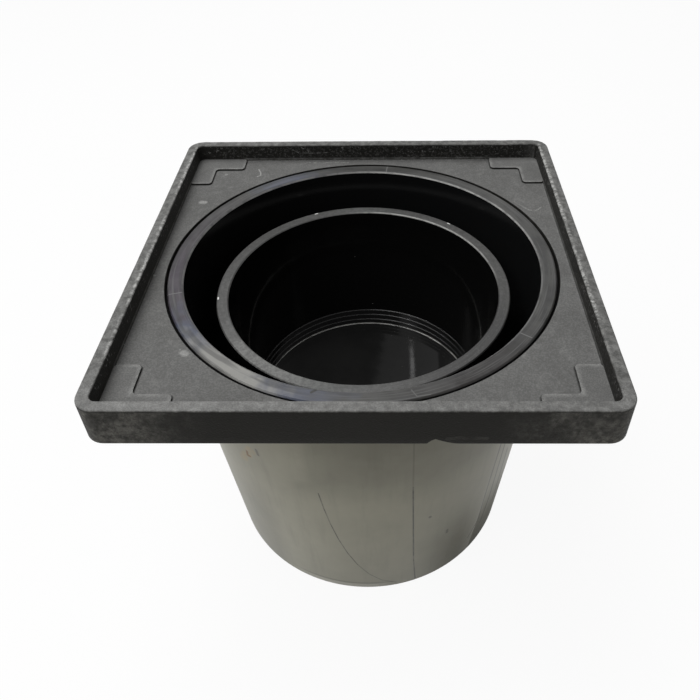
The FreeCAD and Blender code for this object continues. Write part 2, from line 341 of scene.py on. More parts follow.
def make_dust():
    """How much dust lies on a face: only on level ones, between Least and Most in uneven patches."""
    inputs = [("Vector", "NodeSocketVector", None), ("Patch Size", "NodeSocketFloat", 12 * MM)]
    inputs += [("Least", "NodeSocketFloat", 0.0), ("Most", "NodeSocketFloat", 0.5)]
    tree, given, wanted = new_group("ShaderNodeTree", "dust_film", inputs, MASK_OUTPUT)
    normal = place(tree, "ShaderNodeNewGeometry").outputs["Normal"]
    level = ease(tree, axes_of(tree, normal)["Z"], *LEVEL_FACES)
    pitch = math_of(tree, "DIVIDE", 1.0, given["Patch Size"])
    patches = {"Vector": given["Vector"], "Scale": pitch, "Detail": 5.0, "Roughness": 0.62}
    uneven = place(tree, "ShaderNodeTexNoise", None, patches).outputs[0]
    film = ease(tree, uneven, 0.3, 0.7, given["Least"], given["Most"])
    tree.links.new(math_of(tree, "MULTIPLY", level, film), wanted["Mask"])
    return tree


def make_specks():
    """Ragged specks of about one size, in a share of the cells of a loose net."""
    inputs = [("Vector", "NodeSocketVector", None), ("Spacing", "NodeSocketFloat", 8 * MM)]
    inputs += [("Radius", "NodeSocketFloat", 0.3 * MM), ("Share", "NodeSocketFloat", 0.3)]
    tree, given, wanted = new_group("ShaderNodeTree", "scattered_specks", inputs, MASK_OUTPUT)
    fineness = math_of(tree, "DIVIDE", 1.0, given["Radius"])
    ragged = {"Vector": given["Vector"], "Scale": fineness, "Detail": 2.0}
    stir = place(tree, "ShaderNodeTexNoise", None, ragged).outputs["Color"]
    stir = vector_of(tree, "SUBTRACT", stir, (NOISE_MIDDLE,) * 3).outputs[0]
    stirred = vector_of(tree, "ADD", given["Vector"], scaled(tree, stir, given["Radius"])).outputs[0]
    pitch = math_of(tree, "DIVIDE", 1.0, given["Spacing"])
    net = place(tree, "ShaderNodeTexVoronoi", None, {"Vector": stirred, "Scale": pitch})
    draw = place(tree, "ShaderNodeSeparateColor", None, {0: net.outputs["Color"]})
    kept = math_of(tree, "LESS_THAN", draw.outputs["Red"], given["Share"])
    reach = math_of(tree, "MULTIPLY", math_of(tree, "DIVIDE", given["Radius"], given["Spacing"]), 2.0)
    reach = math_of(tree, "MULTIPLY", reach, draw.outputs["Green"])
    dot = math_of(tree, "LESS_THAN", net.outputs["Distance"], reach)
    tree.links.new(math_of(tree, "MULTIPLY", dot, kept), wanted["Mask"])
    return tree


GRAIN = make_grain()
DUST = make_dust()
SPECKS = make_specks()
print("effects:", GRAIN.name, DUST.name, SPECKS.name)

# %% Marks that run round, and single lines
LINE_CORE, LINE_HALF = 0.2, 0.5


def make_turning():
    """Streaks that run round the upright axis, as a turned or spun surface has them."""
    inputs = [("Vector", "NodeSocketVector", None), ("Streak Width", "NodeSocketFloat", 0.5 * MM)]
    inputs.append(("Arcs", "NodeSocketFloat", 3.0))
    tree, given, wanted = new_group("ShaderNodeTree", "turning_marks", inputs, [("Tone", "NodeSocketFloat")])
    axes = axes_of(tree, given["Vector"])
    radius = length_of(tree, axes["X"], axes["Y"])
    flat = place(tree, "ShaderNodeCombineXYZ", None, {"X": axes["X"], "Y": axes["Y"]}).outputs[0]
    ray = place(tree, "ShaderNodeVectorMath", {"operation": "NORMALIZE"}, {0: flat}).outputs[0]
    across = math_of(tree, "DIVIDE", math_of(tree, "ADD", radius, axes["Z"]), given["Streak Width"])
    raised = place(tree, "ShaderNodeCombineXYZ", None, {"Z": across}).outputs[0]
    drawn = vector_of(tree, "ADD", scaled(tree, ray, given["Arcs"]), raised).outputs[0]
    streaks = place(tree, "ShaderNodeTexNoise", None, {"Vector": drawn, "Scale": 1.0, "Detail": 2.0})
    tree.links.new(streaks.outputs[0], wanted["Tone"])
    return tree


def make_line():
    """A fine line from Start to End. Spread sets which directions count, so a line can ignore depth."""
    inputs = [(name, "NodeSocketVector", None) for name in ("Vector", "Start", "End")]
    inputs += [("Spread", "NodeSocketVector", (1, 1, 1)), ("Width", "NodeSocketFloat", 0.4 * MM)]
    tree, given, wanted = new_group("ShaderNodeTree", "fine_line", inputs, MASK_OUTPUT)
    away = vector_of(tree, "SUBTRACT", given["Vector"], given["Start"]).outputs[0]
    away = vector_of(tree, "MULTIPLY", away, given["Spread"]).outputs[0]
    run = vector_of(tree, "SUBTRACT", given["End"], given["Start"]).outputs[0]
    run = vector_of(tree, "MULTIPLY", run, given["Spread"]).outputs[0]
    part = vector_of(tree, "DOT_PRODUCT", away, run).outputs["Value"]
    whole = vector_of(tree, "DOT_PRODUCT", run, run).outputs["Value"]
    share = place(tree, "ShaderNodeClamp", None, {"Value": math_of(tree, "DIVIDE", part, whole)}).outputs[0]
    gap = vector_of(tree, "DISTANCE", away, scaled(tree, run, share)).outputs["Value"]
    half = math_of(tree, "MULTIPLY", given["Width"], LINE_HALF)
    core = math_of(tree, "MULTIPLY", given["Width"], LINE_CORE)
    tree.links.new(ease(tree, gap, core, half, 1.0, 0.0), wanted["Mask"])
    return tree


TURNING = make_turning()
LINE = make_line()
print("effects:", TURNING.name, LINE.name)

# %% Tones that change round a ring, painted reflections on the tub's ring
VIOLET = (0.044, 0.0362, 0.0472)
PALE = (0.25, 0.247, 0.232)
BLUE = (0.058, 0.066, 0.098)
BROWN = (0.014, 0.0122, 0.0118)
GREY = (0.042, 0.042, 0.039)
# Painted reflections on the tub's ring: violet, blue, pale and brown by the angle round it.
RING_REFLECTION_TONES = [
    (-180, VIOLET),
    (-158, VIOLET),
    (-148, BLUE),
    (-135, PALE),
    (-118, PALE),
    (-106, BLUE),
    (-88, GREY),
    (-62, BROWN),
    (-48, BROWN),
    (-28, GREY),
    (45, GREY),
    (106, GREY),
    (122, BLUE),
    (137, GREY),
    (180, VIOLET),
]
CUT_DARK = (0.003, 0.0029, 0.0028)
CUT_DIM = (0.027, 0.027, 0.0255)
CUT_GREY = (0.044, 0.0437, 0.0415)
CUT_PALE = (0.13, 0.131, 0.125)
CUT_MIST = (0.06, 0.0635, 0.0605)
# Tones round the cut rim: paler at the front left, darkest at the front right.
CUT_RIM_TONE_STOPS = [
    (-180, CUT_GREY),
    (-160, CUT_GREY),
    (-140, CUT_PALE),
    (-118, CUT_PALE),
    (-100, CUT_MIST),
    (-78, CUT_GREY),
    (-55, CUT_DARK),
    (-22, CUT_DARK),
    (0, CUT_GREY),
    (60, CUT_GREY),
    (75, CUT_DIM),
    (90, CUT_MIST),
    (110, CUT_GREY),
    (140, CUT_DIM),
    (180, CUT_GREY),
]
TONE_FINENESS = 150.0


def make_angle_tones(name, tones):
    """Faint dark, blue and pale tones, by the angle round the upright axis, with ragged borders."""
    inputs = [("Vector", "NodeSocketVector", None), ("Raggedness", "NodeSocketFloat", 0.07)]
    tree, given, wanted = new_group("ShaderNodeTree", name, inputs, [("Color", "NodeSocketColor")])
    axes = axes_of(tree, given["Vector"])
    angle = math_of(tree, "ARCTAN2", axes["Y"], axes["X"])
    share = math_of(tree, "MULTIPLY_ADD", angle, 1.0 / math.tau, 0.5)
    borders = {"Vector": given["Vector"], "Scale": TONE_FINENESS, "Detail": 4.0}
    rough = place(tree, "ShaderNodeTexNoise", None, borders).outputs[0]
    stray = math_of(tree, "SUBTRACT", rough, NOISE_MIDDLE)
    stray = math_of(tree, "MULTIPLY", stray, given["Raggedness"])
    ramp = place(tree, "ShaderNodeValToRGB", None, {0: math_of(tree, "ADD", share, stray)})
    stops = ramp.color_ramp.elements
    while len(stops) < len(tones):
        stops.new(0.5)
    for stop, (degrees, colour) in zip(stops, tones):
        stop.position = degrees / 360 + 0.5
        stop.color = (*colour, 1.0)
    tree.links.new(ramp.outputs[0], wanted["Color"])
    return tree


RING_REFLECTIONS = make_angle_tones("ring_reflections", RING_REFLECTION_TONES)
CUT_RIM_TONES = make_angle_tones("cut_rim_tones", CUT_RIM_TONE_STOPS)
print("effects:", RING_REFLECTIONS.name, CUT_RIM_TONES.name)

# %% Helpers that start and end a material
def start_material(name):
    """A material, its tree and the place on the piece that its patterns follow."""
    material = bpy.data.materials.new(name)
    material.use_nodes = True
    tree = material.node_tree
    tree.nodes.clear()
    spot = place(tree, "ShaderNodeTexCoord").outputs["Object"]
    return material, tree, spot


def end_material(tree, colour, roughness, height, depth, specular):
    """The plastic itself: colour and roughness from the nodes, a bump, and a plain specular level."""
    bump = place(tree, "ShaderNodeBump", None, {"Height": height, "Distance": depth, "Strength": 1.0})
    inputs = {"Base Color": colour, "Roughness": roughness, "Normal": bump.outputs[0]}
    plastic = place(tree, "ShaderNodeBsdfPrincipled", None, inputs)
    plastic.inputs["Specular IOR Level"].default_value = specular
    place(tree, "ShaderNodeOutputMaterial", None, {"Surface": plastic.outputs[0]})


print("material helpers ready")

# %% Helpers that make masks
FLAT = (1, 1, 0)
UPRIGHT = (1, 0, 1)
ALL_WAYS = (1, 1, 1)


def use(tree, group, inputs):
    """Place one of the shared effects."""
    made = tree.nodes.new("ShaderNodeGroup")
    made.node_tree = group
    for name, value in inputs.items():
        feed(tree, made.inputs[name], value)
    return made.outputs


def cloud(tree, spot, size, low, high, start=0.0, end=1.0):
    """Random patches of about this size, eased from start to end between two levels of the noise."""
    inputs = {"Vector": spot, "Scale": 1.0 / size, "Detail": 4.0, "Roughness": 0.65}
    return ease(tree, place(tree, "ShaderNodeTexNoise", None, inputs).outputs[0], low, high, start, end)


def all_of(tree, *masks):
    """Where every mask holds: their product."""
    result = masks[0]
    for mask in masks[1:]:
        result = math_of(tree, "MULTIPLY", result, mask)
    return result


def any_of(tree, *masks):
    """Where any mask holds: the largest of them."""
    result = masks[0]
    for mask in masks[1:]:
        result = math_of(tree, "MAXIMUM", result, mask)
    return result


def lines_mask(tree, spot, spread, runs, width, strength=1.0):
    """Several fine lines in one mask. A run is a list of places, in millimetres, joined one to the next."""
    mask = 0.0
    for run in runs:
        for start, end in zip(run, run[1:]):
            ends = {"Start": Vector(start) * MM, "End": Vector(end) * MM}
            line = use(tree, LINE, {"Vector": spot, "Spread": spread, "Width": width, **ends})
            mask = math_of(tree, "MAXIMUM", mask, line["Mask"])
    return all_of(tree, mask, strength)


def specks_mask(tree, spot, spacing, radius, share, strength):
    """Scattered specks, as strong as given."""
    inputs = {"Vector": spot, "Spacing": spacing, "Radius": radius, "Share": share}
    return all_of(tree, use(tree, SPECKS, inputs)["Mask"], strength)


def dust_mask(tree, spot, patch, least, most):
    """The dust film, between its least and its most."""
    inputs = {"Vector": spot, "Patch Size": patch, "Least": least, "Most": most}
    return use(tree, DUST, inputs)["Mask"]


def turning_tone(tree, spot, width, arcs):
    """The tone of the turning marks, from 0 to 1."""
    return use(tree, TURNING, {"Vector": spot, "Streak Width": width, "Arcs": arcs})["Tone"]


print("mask helpers ready")

# %% [markdown]
# ## Frame plastic
#
# The frame is dull black plastic with a sandy grain, handled and stored in the dust. Level faces hold a
# grey film, which on the rim's top thins from left to right as painted light from the left, and the rim is
# worn pale in uneven runs along its inner edge. Dust clings to the recess's walls and to the ends of the
# outer sides. A curled scratch, two scuffs, two smears and a few specks lie in the recess. The pads' upper
# edges have a painted highlight, and painted shade runs along their foot. Each mark is a mask made from
# the place on the frame, so it stays put when the light or view turns. A zone is written as the two places
# between which its mask eases from nothing to full.

# %% Marks and zones of the frame
RECESS_SCRATCHES = [[(-60.6, 85.0, 0), (-59.0, 81.5, 0), (-58.6, 78.6, 0), (-60.4, 77.2, 0)]]
RECESS_SCUFFS = [
    [(77.2, 49.9, 0), (81.3, 44.8, 0), (83.6, 42.3, 0), (86.9, 41.6, 0), (90.0, 45.0, 0)],
    [(-38.0, 90.6, 0), (-33.0, 92.8, 0), (-27.0, 91.8, 0), (-19.0, 92.9, 0), (-11.0, 92.4, 0)],
]
RECESS_SMEARS = [[(-85.6, 51.2, 0), (-84.2, 51.0, 0)], [(-70.0, -61.0, 0), (-69.0, -61.8, 0)]]
FRONT_SCUFFS = [[(33.5, 0, 153.0), (38.0, 0, 153.6), (47.5, 0, 153.2)]]
WALL_SCRATCHES = [
    [(-36.4, 0, 163.2), (-29.0, 0, 163.0), (-21.7, 0, 163.4)],
    [(-41.9, 0, 165.1), (-38.1, 0, 162.9)],
]

FRONT_HALF = (0.0, -MM)
BACK_HALF = (0.0, MM)
RIM_FACE = (RIM_TOP - 1.0 * MM, RIM_TOP - 0.4 * MM)
BELOW_RIM = (RIM_TOP - 0.6 * MM, RIM_TOP - 1.2 * MM)
INNER_EDGE = (2.4 * MM, 0.5 * MM)
SIDE_RIMS = (-4 * MM, 0.0)
BEHIND_WORN_FRONT = (-84 * MM, -66 * MM)
BEHIND_FRONT_RIM = (-94 * MM, -80 * MM)
# The rim's dust film thins from left to right as painted light from the left.
LEFT_TO_RIGHT = (-70 * MM, 70 * MM)
WALL_SKIN = (0.9 * MM, 0.3 * MM)
BACK_WALL = (80 * MM, 94 * MM)
PAST_LEFT_WALL = (-94 * MM, -80 * MM)
UPPER_WALL = (RECESS_FLOOR + 2 * MM, RIM_TOP - 3 * MM)
BACK_FACE = (93.8 * MM, 94.4 * MM)
RIGHT_CORNER = (85 * MM, 95 * MM)
OUTER_SIDE = (RIM_WALL - 2.0 * MM, RIM_WALL - 1.5 * MM)
SIDE_ENDS = (48 * MM, 93 * MM)
INSIDE_WALLS = (0.3 * MM, 0.0)
LOW_IN_RECESS = (RECESS_FLOOR + 2 * MM, RECESS_FLOOR + 1.2 * MM)
ON_PAD = (RECESS_FLOOR + 0.5 * PAD_HEIGHT, RECESS_FLOOR + 0.9 * PAD_HEIGHT)
NEAR_PAD_TOP = (RECESS_FLOOR + 2.0 * PAD_HEIGHT, RECESS_FLOOR + 1.5 * PAD_HEIGHT)
BELOW_PAD_TOP = (RECESS_FLOOR + 0.8 * PAD_HEIGHT, RECESS_FLOOR + 0.5 * PAD_HEIGHT)
PAD_EDGE = (-2.4 * MM, -0.2 * MM)
PAD_FOOT = (0.7 * MM, 0.2 * MM)
print("marks in the recess:", len(RECESS_SCRATCHES + RECESS_SCUFFS + RECESS_SMEARS))

# %% Dust, wear and painted light on the rim and the walls
def frame_sides(tree, axes):
    """Distances from the two middle planes, and how far a spot lies outside the recess's walls."""
    across = math_of(tree, "ABSOLUTE", axes["X"])
    deep = math_of(tree, "ABSOLUTE", axes["Y"])
    return across, deep, math_of(tree, "SUBTRACT", any_of(tree, across, deep), RECESS_HALF)


def rim_wear(tree, spot, axes, sides):
    """Pale runs on the rim's top, thickest along its inner edge on the left and right."""
    across, deep, gap = sides
    inner = ease(tree, gap, *INNER_EDGE)
    left_right = ease(tree, math_of(tree, "SUBTRACT", across, deep), *SIDE_RIMS, 0.2, 1.0)
    flakes = cloud(tree, spot, 2.4 * MM, 0.42, 0.58, 0.25, 1.0)
    runs = cloud(tree, spot, 22 * MM, 0.36, 0.56, 0.3, 1.0)
    worn = all_of(tree, inner, left_right, ease(tree, axes["Y"], *BEHIND_WORN_FRONT), flakes, runs)
    mottled = cloud(tree, spot, 3.5 * MM, 0.35, 0.7, 0.06, 0.3)
    return all_of(tree, ease(tree, axes["Z"], *RIM_FACE), any_of(tree, mottled, worn))


def rim_shade(tree, spot, axes):
    """How much of the dust film is kept on the rim's top: more on the left and less on the right, as painted
    light from the left, and less in patches behind.
    """
    patches = cloud(tree, spot, 6 * MM, 0.38, 0.6, 0.25, 1.0)
    patches = all_of(tree, patches, ease(tree, axes["Y"], *BEHIND_FRONT_RIM))
    kept = ease(tree, patches, 0.0, 1.0, 1.0, 0.4)
    kept = all_of(tree, kept, ease(tree, axes["X"], *LEFT_TO_RIGHT, 1.12, 0.74))
    top = ease(tree, axes["Z"], *RIM_FACE)
    return math_of(tree, "MULTIPLY_ADD", top, math_of(tree, "SUBTRACT", kept, 1.0), 1.0)


def wall_dust(tree, spot, axes, sides):
    """Fine dust on the recess's walls, single flecks near the rim, two scratches and a dusty corner."""
    wall = ease(tree, math_of(tree, "ABSOLUTE", sides[2]), *WALL_SKIN)
    wall = all_of(tree, wall, ease(tree, axes["Z"], *BELOW_RIM))
    speckle = cloud(tree, spot, 1.1 * MM, 0.48, 0.72, 0.0, 0.22)
    speckle = all_of(tree, speckle, ease(tree, axes["Y"], *BACK_WALL, 0.5, 1.0))
    speckle = all_of(tree, speckle, ease(tree, axes["X"], *PAST_LEFT_WALL, 0.1, 1.0))
    flecks = cloud(tree, spot, 1.5 * MM, 0.6, 0.66, 0.0, 0.5)
    flecks = all_of(tree, flecks, ease(tree, axes["Z"], *UPPER_WALL), cloud(tree, spot, 20 * MM, 0.38, 0.52))
    scratch = lines_mask(tree, spot, UPRIGHT, WALL_SCRATCHES, 0.8 * MM)
    scratch = all_of(tree, scratch, ease(tree, axes["Y"], *BACK_HALF))
    scratch = all_of(tree, scratch, cloud(tree, spot, 1.2 * MM, 0.42, 0.62, 0.05, 0.45))
    corner = all_of(tree, ease(tree, axes["X"], *RIGHT_CORNER), ease(tree, axes["Y"], *BACK_FACE))
    corner = all_of(tree, corner, cloud(tree, spot, 2.5 * MM, 0.35, 0.65, 0.06, 0.24))
    return all_of(tree, wall, any_of(tree, speckle, flecks, scratch, corner))


def side_dust(tree, spot, axes, sides):
    """Dusty patches near the ends of the frame's outer sides, and a soft scuff beside the nick."""
    across, deep, gap = sides
    outer = all_of(tree, ease(tree, gap, *OUTER_SIDE), ease(tree, axes["Z"], *BELOW_RIM))
    ends = ease(tree, math_of(tree, "MINIMUM", across, deep), *SIDE_ENDS)
    patches = cloud(tree, spot, 13 * MM, 0.38, 0.6, 0.3, 1.0)
    dusty = all_of(tree, ends, patches, cloud(tree, spot, 2.2 * MM, 0.3, 0.72, 0.08, 0.56))
    scuff = lines_mask(tree, spot, UPRIGHT, FRONT_SCUFFS, 2.4 * MM)
    scuff = all_of(tree, scuff, ease(tree, axes["Y"], *FRONT_HALF))
    scuff = all_of(tree, scuff, cloud(tree, spot, 4 * MM, 0.3, 0.7, 0.0, 0.09))
    return all_of(tree, outer, any_of(tree, dusty, scuff))


print("dust and wear ready")

# %% Marks in the recess and on the pads
def recess_marks(tree, spot, axes, sides):
    """A curled scratch, two scuffs, two smears, pale blotches and a few specks on the recess floor."""
    floor = all_of(tree, ease(tree, axes["Z"], *LOW_IN_RECESS), ease(tree, sides[2], *INSIDE_WALLS))
    scratch = lines_mask(tree, spot, FLAT, RECESS_SCRATCHES, 1.0 * MM, 0.5)
    scuff = lines_mask(tree, spot, FLAT, RECESS_SCUFFS, 1.3 * MM)
    scuff = all_of(tree, scuff, cloud(tree, spot, 1.6 * MM, 0.4, 0.65, 0.02, 0.4))
    pale_patch = lines_mask(tree, spot, FLAT, RECESS_SMEARS, 4.2 * MM, 0.42)
    specks = specks_mask(tree, spot, 8 * MM, 0.5 * MM, 0.3, 0.3)
    blotch = cloud(tree, spot, 6 * MM, 0.52, 0.74, 0.0, 0.1)
    return all_of(tree, floor, any_of(tree, scratch, scuff, pale_patch, specks, blotch))


def pad_distance(tree, sides):
    """Distance to the foot of the L-shaped corner pads, below zero on them. All four corners are alike."""
    across, deep, _ = sides
    arm_end = RECESS_HALF - PAD_ARM + PAD_ROUND
    arm_side = RECESS_HALF - PAD_WIDTH + PAD_ROUND
    arms = []
    for long_side, short_side in ((across, deep), (deep, across)):
        past_end = any_of(tree, math_of(tree, "SUBTRACT", arm_end, long_side), 0.0)
        past_side = any_of(tree, math_of(tree, "SUBTRACT", arm_side, short_side), 0.0)
        arms.append(math_of(tree, "SUBTRACT", length_of(tree, past_end, past_side), PAD_ROUND))
    return math_of(tree, "MINIMUM", *arms)


def pad_marks(tree, spot, axes, sides):
    """A painted highlight on the pads' upper edges, and painted shade along their foot."""
    away = pad_distance(tree, sides)
    inside = ease(tree, sides[2], *INSIDE_WALLS)
    level = all_of(tree, ease(tree, axes["Z"], *ON_PAD), ease(tree, axes["Z"], *NEAR_PAD_TOP))
    # Painted highlight on the pads' upper edges.
    wear_and_highlight = all_of(tree, ease(tree, away, *PAD_EDGE), cloud(tree, spot, 5 * MM, 0.35, 0.65, 0.1, 0.3))
    # Painted shade along the pads' foot.
    pad_foot_shade = all_of(tree, ease(tree, axes["Z"], *BELOW_PAD_TOP), ease(tree, away, *PAD_FOOT, 0.0, 0.6))
    return all_of(tree, inside, level, wear_and_highlight), all_of(tree, inside, pad_foot_shade)


print("recess and pad marks ready")

# %% Frame finish
FRAME_BLACK = (0.021, 0.0205, 0.0185, 1.0)
FRAME_DUST = (0.245, 0.245, 0.24, 1.0)
FRAME_WEAR_AND_HIGHLIGHT = (0.48, 0.48, 0.465, 1.0)
FRAME_PAD_SHADE = (0.012, 0.012, 0.011, 1.0)
FRAME_GRAIN = 0.62 * MM
FRAME_BUMP = 0.16 * MM
FRAME_ROUGHNESS = (0.5, 0.8)
FRAME_SPECULAR = 0.08


def frame_finish():
    """Black grain under dust, then pale wear and the painted highlight on the pads' edges, then painted
    shade at the pads' foot.
    """
    material, tree, spot = start_material("frame_plastic")
    axes = axes_of(tree, spot)
    sides = frame_sides(tree, axes)
    grain = use(tree, GRAIN, {"Vector": spot, "Grain Size": FRAME_GRAIN})
    film = dust_mask(tree, spot, 30 * MM, 0.46, 0.585)
    uneven = cloud(tree, spot, 4 * MM, 0.3, 0.7, 0.94, 1.06)
    grainy = ease(tree, grain["Tone"], 0.0, 1.0, 0.82, 1.18)
    # On the rim's top the dust film also carries painted light from the left.
    dust = all_of(tree, film, uneven, grainy, rim_shade(tree, spot, axes))
    colour = blend_colour(tree, dust, FRAME_BLACK, FRAME_DUST)

    pad_edge_highlight, pad_foot_shade = pad_marks(tree, spot, axes, sides)
    pale = any_of(tree, rim_wear(tree, spot, axes, sides), wall_dust(tree, spot, axes, sides),
                  side_dust(tree, spot, axes, sides), recess_marks(tree, spot, axes, sides), pad_edge_highlight)
    pale = all_of(tree, pale, ease(tree, grain["Tone"], 0.0, 1.0, 0.8, 1.15))
    colour = blend_colour(tree, pale, colour, FRAME_WEAR_AND_HIGHLIGHT)
    colour = blend_colour(tree, pad_foot_shade, colour, FRAME_PAD_SHADE)
    roughness = ease(tree, any_of(tree, dust, pale), 0.0, 0.6, *FRAME_ROUGHNESS)
    end_material(tree, colour, roughness, grain["Height"], FRAME_BUMP, FRAME_SPECULAR)
    return material


FRAME_FINISH = frame_finish()
print(FRAME_FINISH.name, len(FRAME_FINISH.node_tree.nodes), "nodes")

# %% [markdown]
# ## Tub plastic
#
# The tub is one glossy moulding. Inside it is black and mirrors the cup. Its top ring is satin, with
# painted reflections that change round it, turning marks, three fine radial lines, a small dark dent, an
# L-shaped scratch and a painted highlight on its inner bevel at the back right. The gap round it has
# painted shade. Outside it is a dusty warm grey, with painted light low down and on the left and painted
# shade on the right, grit, faint upright streaks, thin dark lines and a pale band that are painted
# reflections, a painted highlight on the foot and an orange spot with a pale halo. Radius and height tell
# these zones apart.

# %% Colours, marks and zones of the tub
TUB_BLACK = (0.0075, 0.0078, 0.008, 1.0)
TUB_OUTSIDE = (0.235, 0.23, 0.185, 1.0)
# The pale colour is painted light on the body; the dark one serves grit, streaks and painted shade.
TUB_OUTSIDE_PALE = (0.51, 0.505, 0.42, 1.0)
TUB_OUTSIDE_DARK = (0.06, 0.059, 0.048, 1.0)
TUB_PALE_REFLECTION = (0.56, 0.555, 0.47, 1.0)
TUB_FOOT_HIGHLIGHT = (0.75, 0.745, 0.69, 1.0)
RING_DARK = (0.016, 0.016, 0.017, 1.0)
# Pale wear on the ring and the cut rim, also used for the painted highlight on the ring's lip.
RING_WEAR_AND_HIGHLIGHT = (0.165, 0.165, 0.163, 1.0)
BEVEL_HIGHLIGHT = (0.42, 0.42, 0.4, 1.0)
LINE_DARK = (0.02, 0.02, 0.018, 1.0)
ORANGE_CORE = (0.3, 0.155, 0.055, 1.0)
ORANGE_HALO_PALE = (0.64, 0.52, 0.3, 1.0)
GAP_SHADE = (0.004, 0.004, 0.004, 1.0)

RING_LINES = [
    [(-85.2, -24.6, 0), (-79.0, -22.9, 0)],
    [(11.3, 87.9, 0), (10.5, 81.2, 0)],
    [(65.4, -49.3, 0), (70.2, -52.6, 0)],
]
RING_SCRATCHES = [[(20.8, -81.2, 0), (22.8, -84.4, 0), (27.9, -83.4, 0)]]
RING_DENTS = [[(-16.8, -82.4, 0), (-15.2, -81.2, 0)]]
# The body's curved, dark, faint and edge lines are painted reflections.
CURVE_START, CURVE_END = (-18.6, 0, 94.5), (15.3, 0, 4.1)
CURVE_LEAVES, CURVE_ARRIVES = (-15.2, 0, 61.0), (-6.0, 0, 13.5)
CURVE_STEPS = 9
CURVED_LINES = [interpolate_bezier(CURVE_START, CURVE_LEAVES, CURVE_ARRIVES, CURVE_END, CURVE_STEPS)]
DARK_LINES = [[(22.5, 0, 98.0), (22.8, 0, 84.0), (24.1, 0, 25.6), (25.4, 0, 2.9)]]
FAINT_LINES = [[(22.0, 0, 150.0), (22.5, 0, 98.0)]]
EDGE_LINES = [
    [(64.6, 0, 105.0), (63.5, 0, 93.2), (60.3, 0, 54.4), (58.4, 0, 27.4), (53.6, 0, 16.0)],
    [(67.6, 0, 100.0), (66.3, 0, 87.0), (63.5, 0, 41.8), (60.6, 0, 19.2)],
    [(69.5, 0, 79.0), (67.2, 0, 27.8)],
]
PALE_REFLECTION_BANDS = [[(-28.0, 0, 140.0), (-29.3, 0, 118.0), (-30.0, 0, 106.0)]]
ORANGE_SPOT_HALO = [[(-53.5, -66.5, 97.8), (-47.7, -72.1, 110.2)]]
ORANGE_SPOT_CORE = [[(-49.9, -70.0, 107.2), (-50.1, -69.5, 103.7), (-48.9, -70.3, 104.2)]]
BODY_SPECKS = [
    [(-44.5, -74.3, 113.5), (-44.1, -74.1, 109.8)],
    [(31.0, -76.1, 66.6), (31.2, -76.0, 65.8)],
    [(40.4, -69.1, 44.4), (40.6, -68.9, 41.6)],
]

WALL_SLOPE = (TUB_TOP_RADIUS - FOOT_RADIUS) / FLANGE_BOTTOM
OUTER_SKIN = (0.0, 0.5 * MM)
UNDER_FLANGE = (FLANGE_BOTTOM + 0.5 * MM, FLANGE_BOTTOM)
RING_FACE = (RECESS_FLOOR - 1.0 * MM, RECESS_FLOOR - 0.7 * MM)
NECK_SKIN = (NECK_RADIUS - 0.4 * MM, NECK_RADIUS - 0.2 * MM)
RING_LIP = (NECK_INSIDE + 0.8 * MM, NECK_INSIDE + 0.5 * MM)
# The way the painted highlight on the inner bevels faces.
BACK_RIGHT = (0.64, 0.77, 0.0)
print("lines on the tub's front:", len(DARK_LINES + CURVED_LINES + FAINT_LINES + EDGE_LINES))

# %% Zones of the tub and the look of its ring
def tub_zones(tree, axes, radius):
    """Masks for the tub's outside, its top ring and the gap round its neck, which takes painted shade."""
    wall = math_of(tree, "MULTIPLY_ADD", axes["Z"], WALL_SLOPE, FOOT_RADIUS - 0.5 * FOOT_WALL)
    outside = ease(tree, math_of(tree, "SUBTRACT", radius, wall), *OUTER_SKIN)
    outside = all_of(tree, outside, ease(tree, axes["Z"], *UNDER_FLANGE))
    ring = ease(tree, axes["Z"], *RING_FACE)
    gap = all_of(tree, ease(tree, radius, *NECK_SKIN), ease(tree, axes["Z"], *reversed(RING_FACE)))
    gap = all_of(tree, gap, ease(tree, axes["Z"], *reversed(UNDER_FLANGE)))
    return outside, ring, gap


def bevel_highlight(tree, spot, radius, edge):
    """A painted highlight along the bevel of an inner edge, at the back right."""
    bevel = ease(tree, radius, edge + 0.6 * MM, edge + 0.3 * MM)
    toward = vector_of(tree, "DOT_PRODUCT", spot, BACK_RIGHT).outputs["Value"]
    patches = cloud(tree, spot, 5 * MM, 0.3, 0.6, 0.2, 1.0)
    return all_of(tree, bevel, patches, ease(tree, toward, 0.6 * edge, 0.95 * edge, 0.0, 0.7))


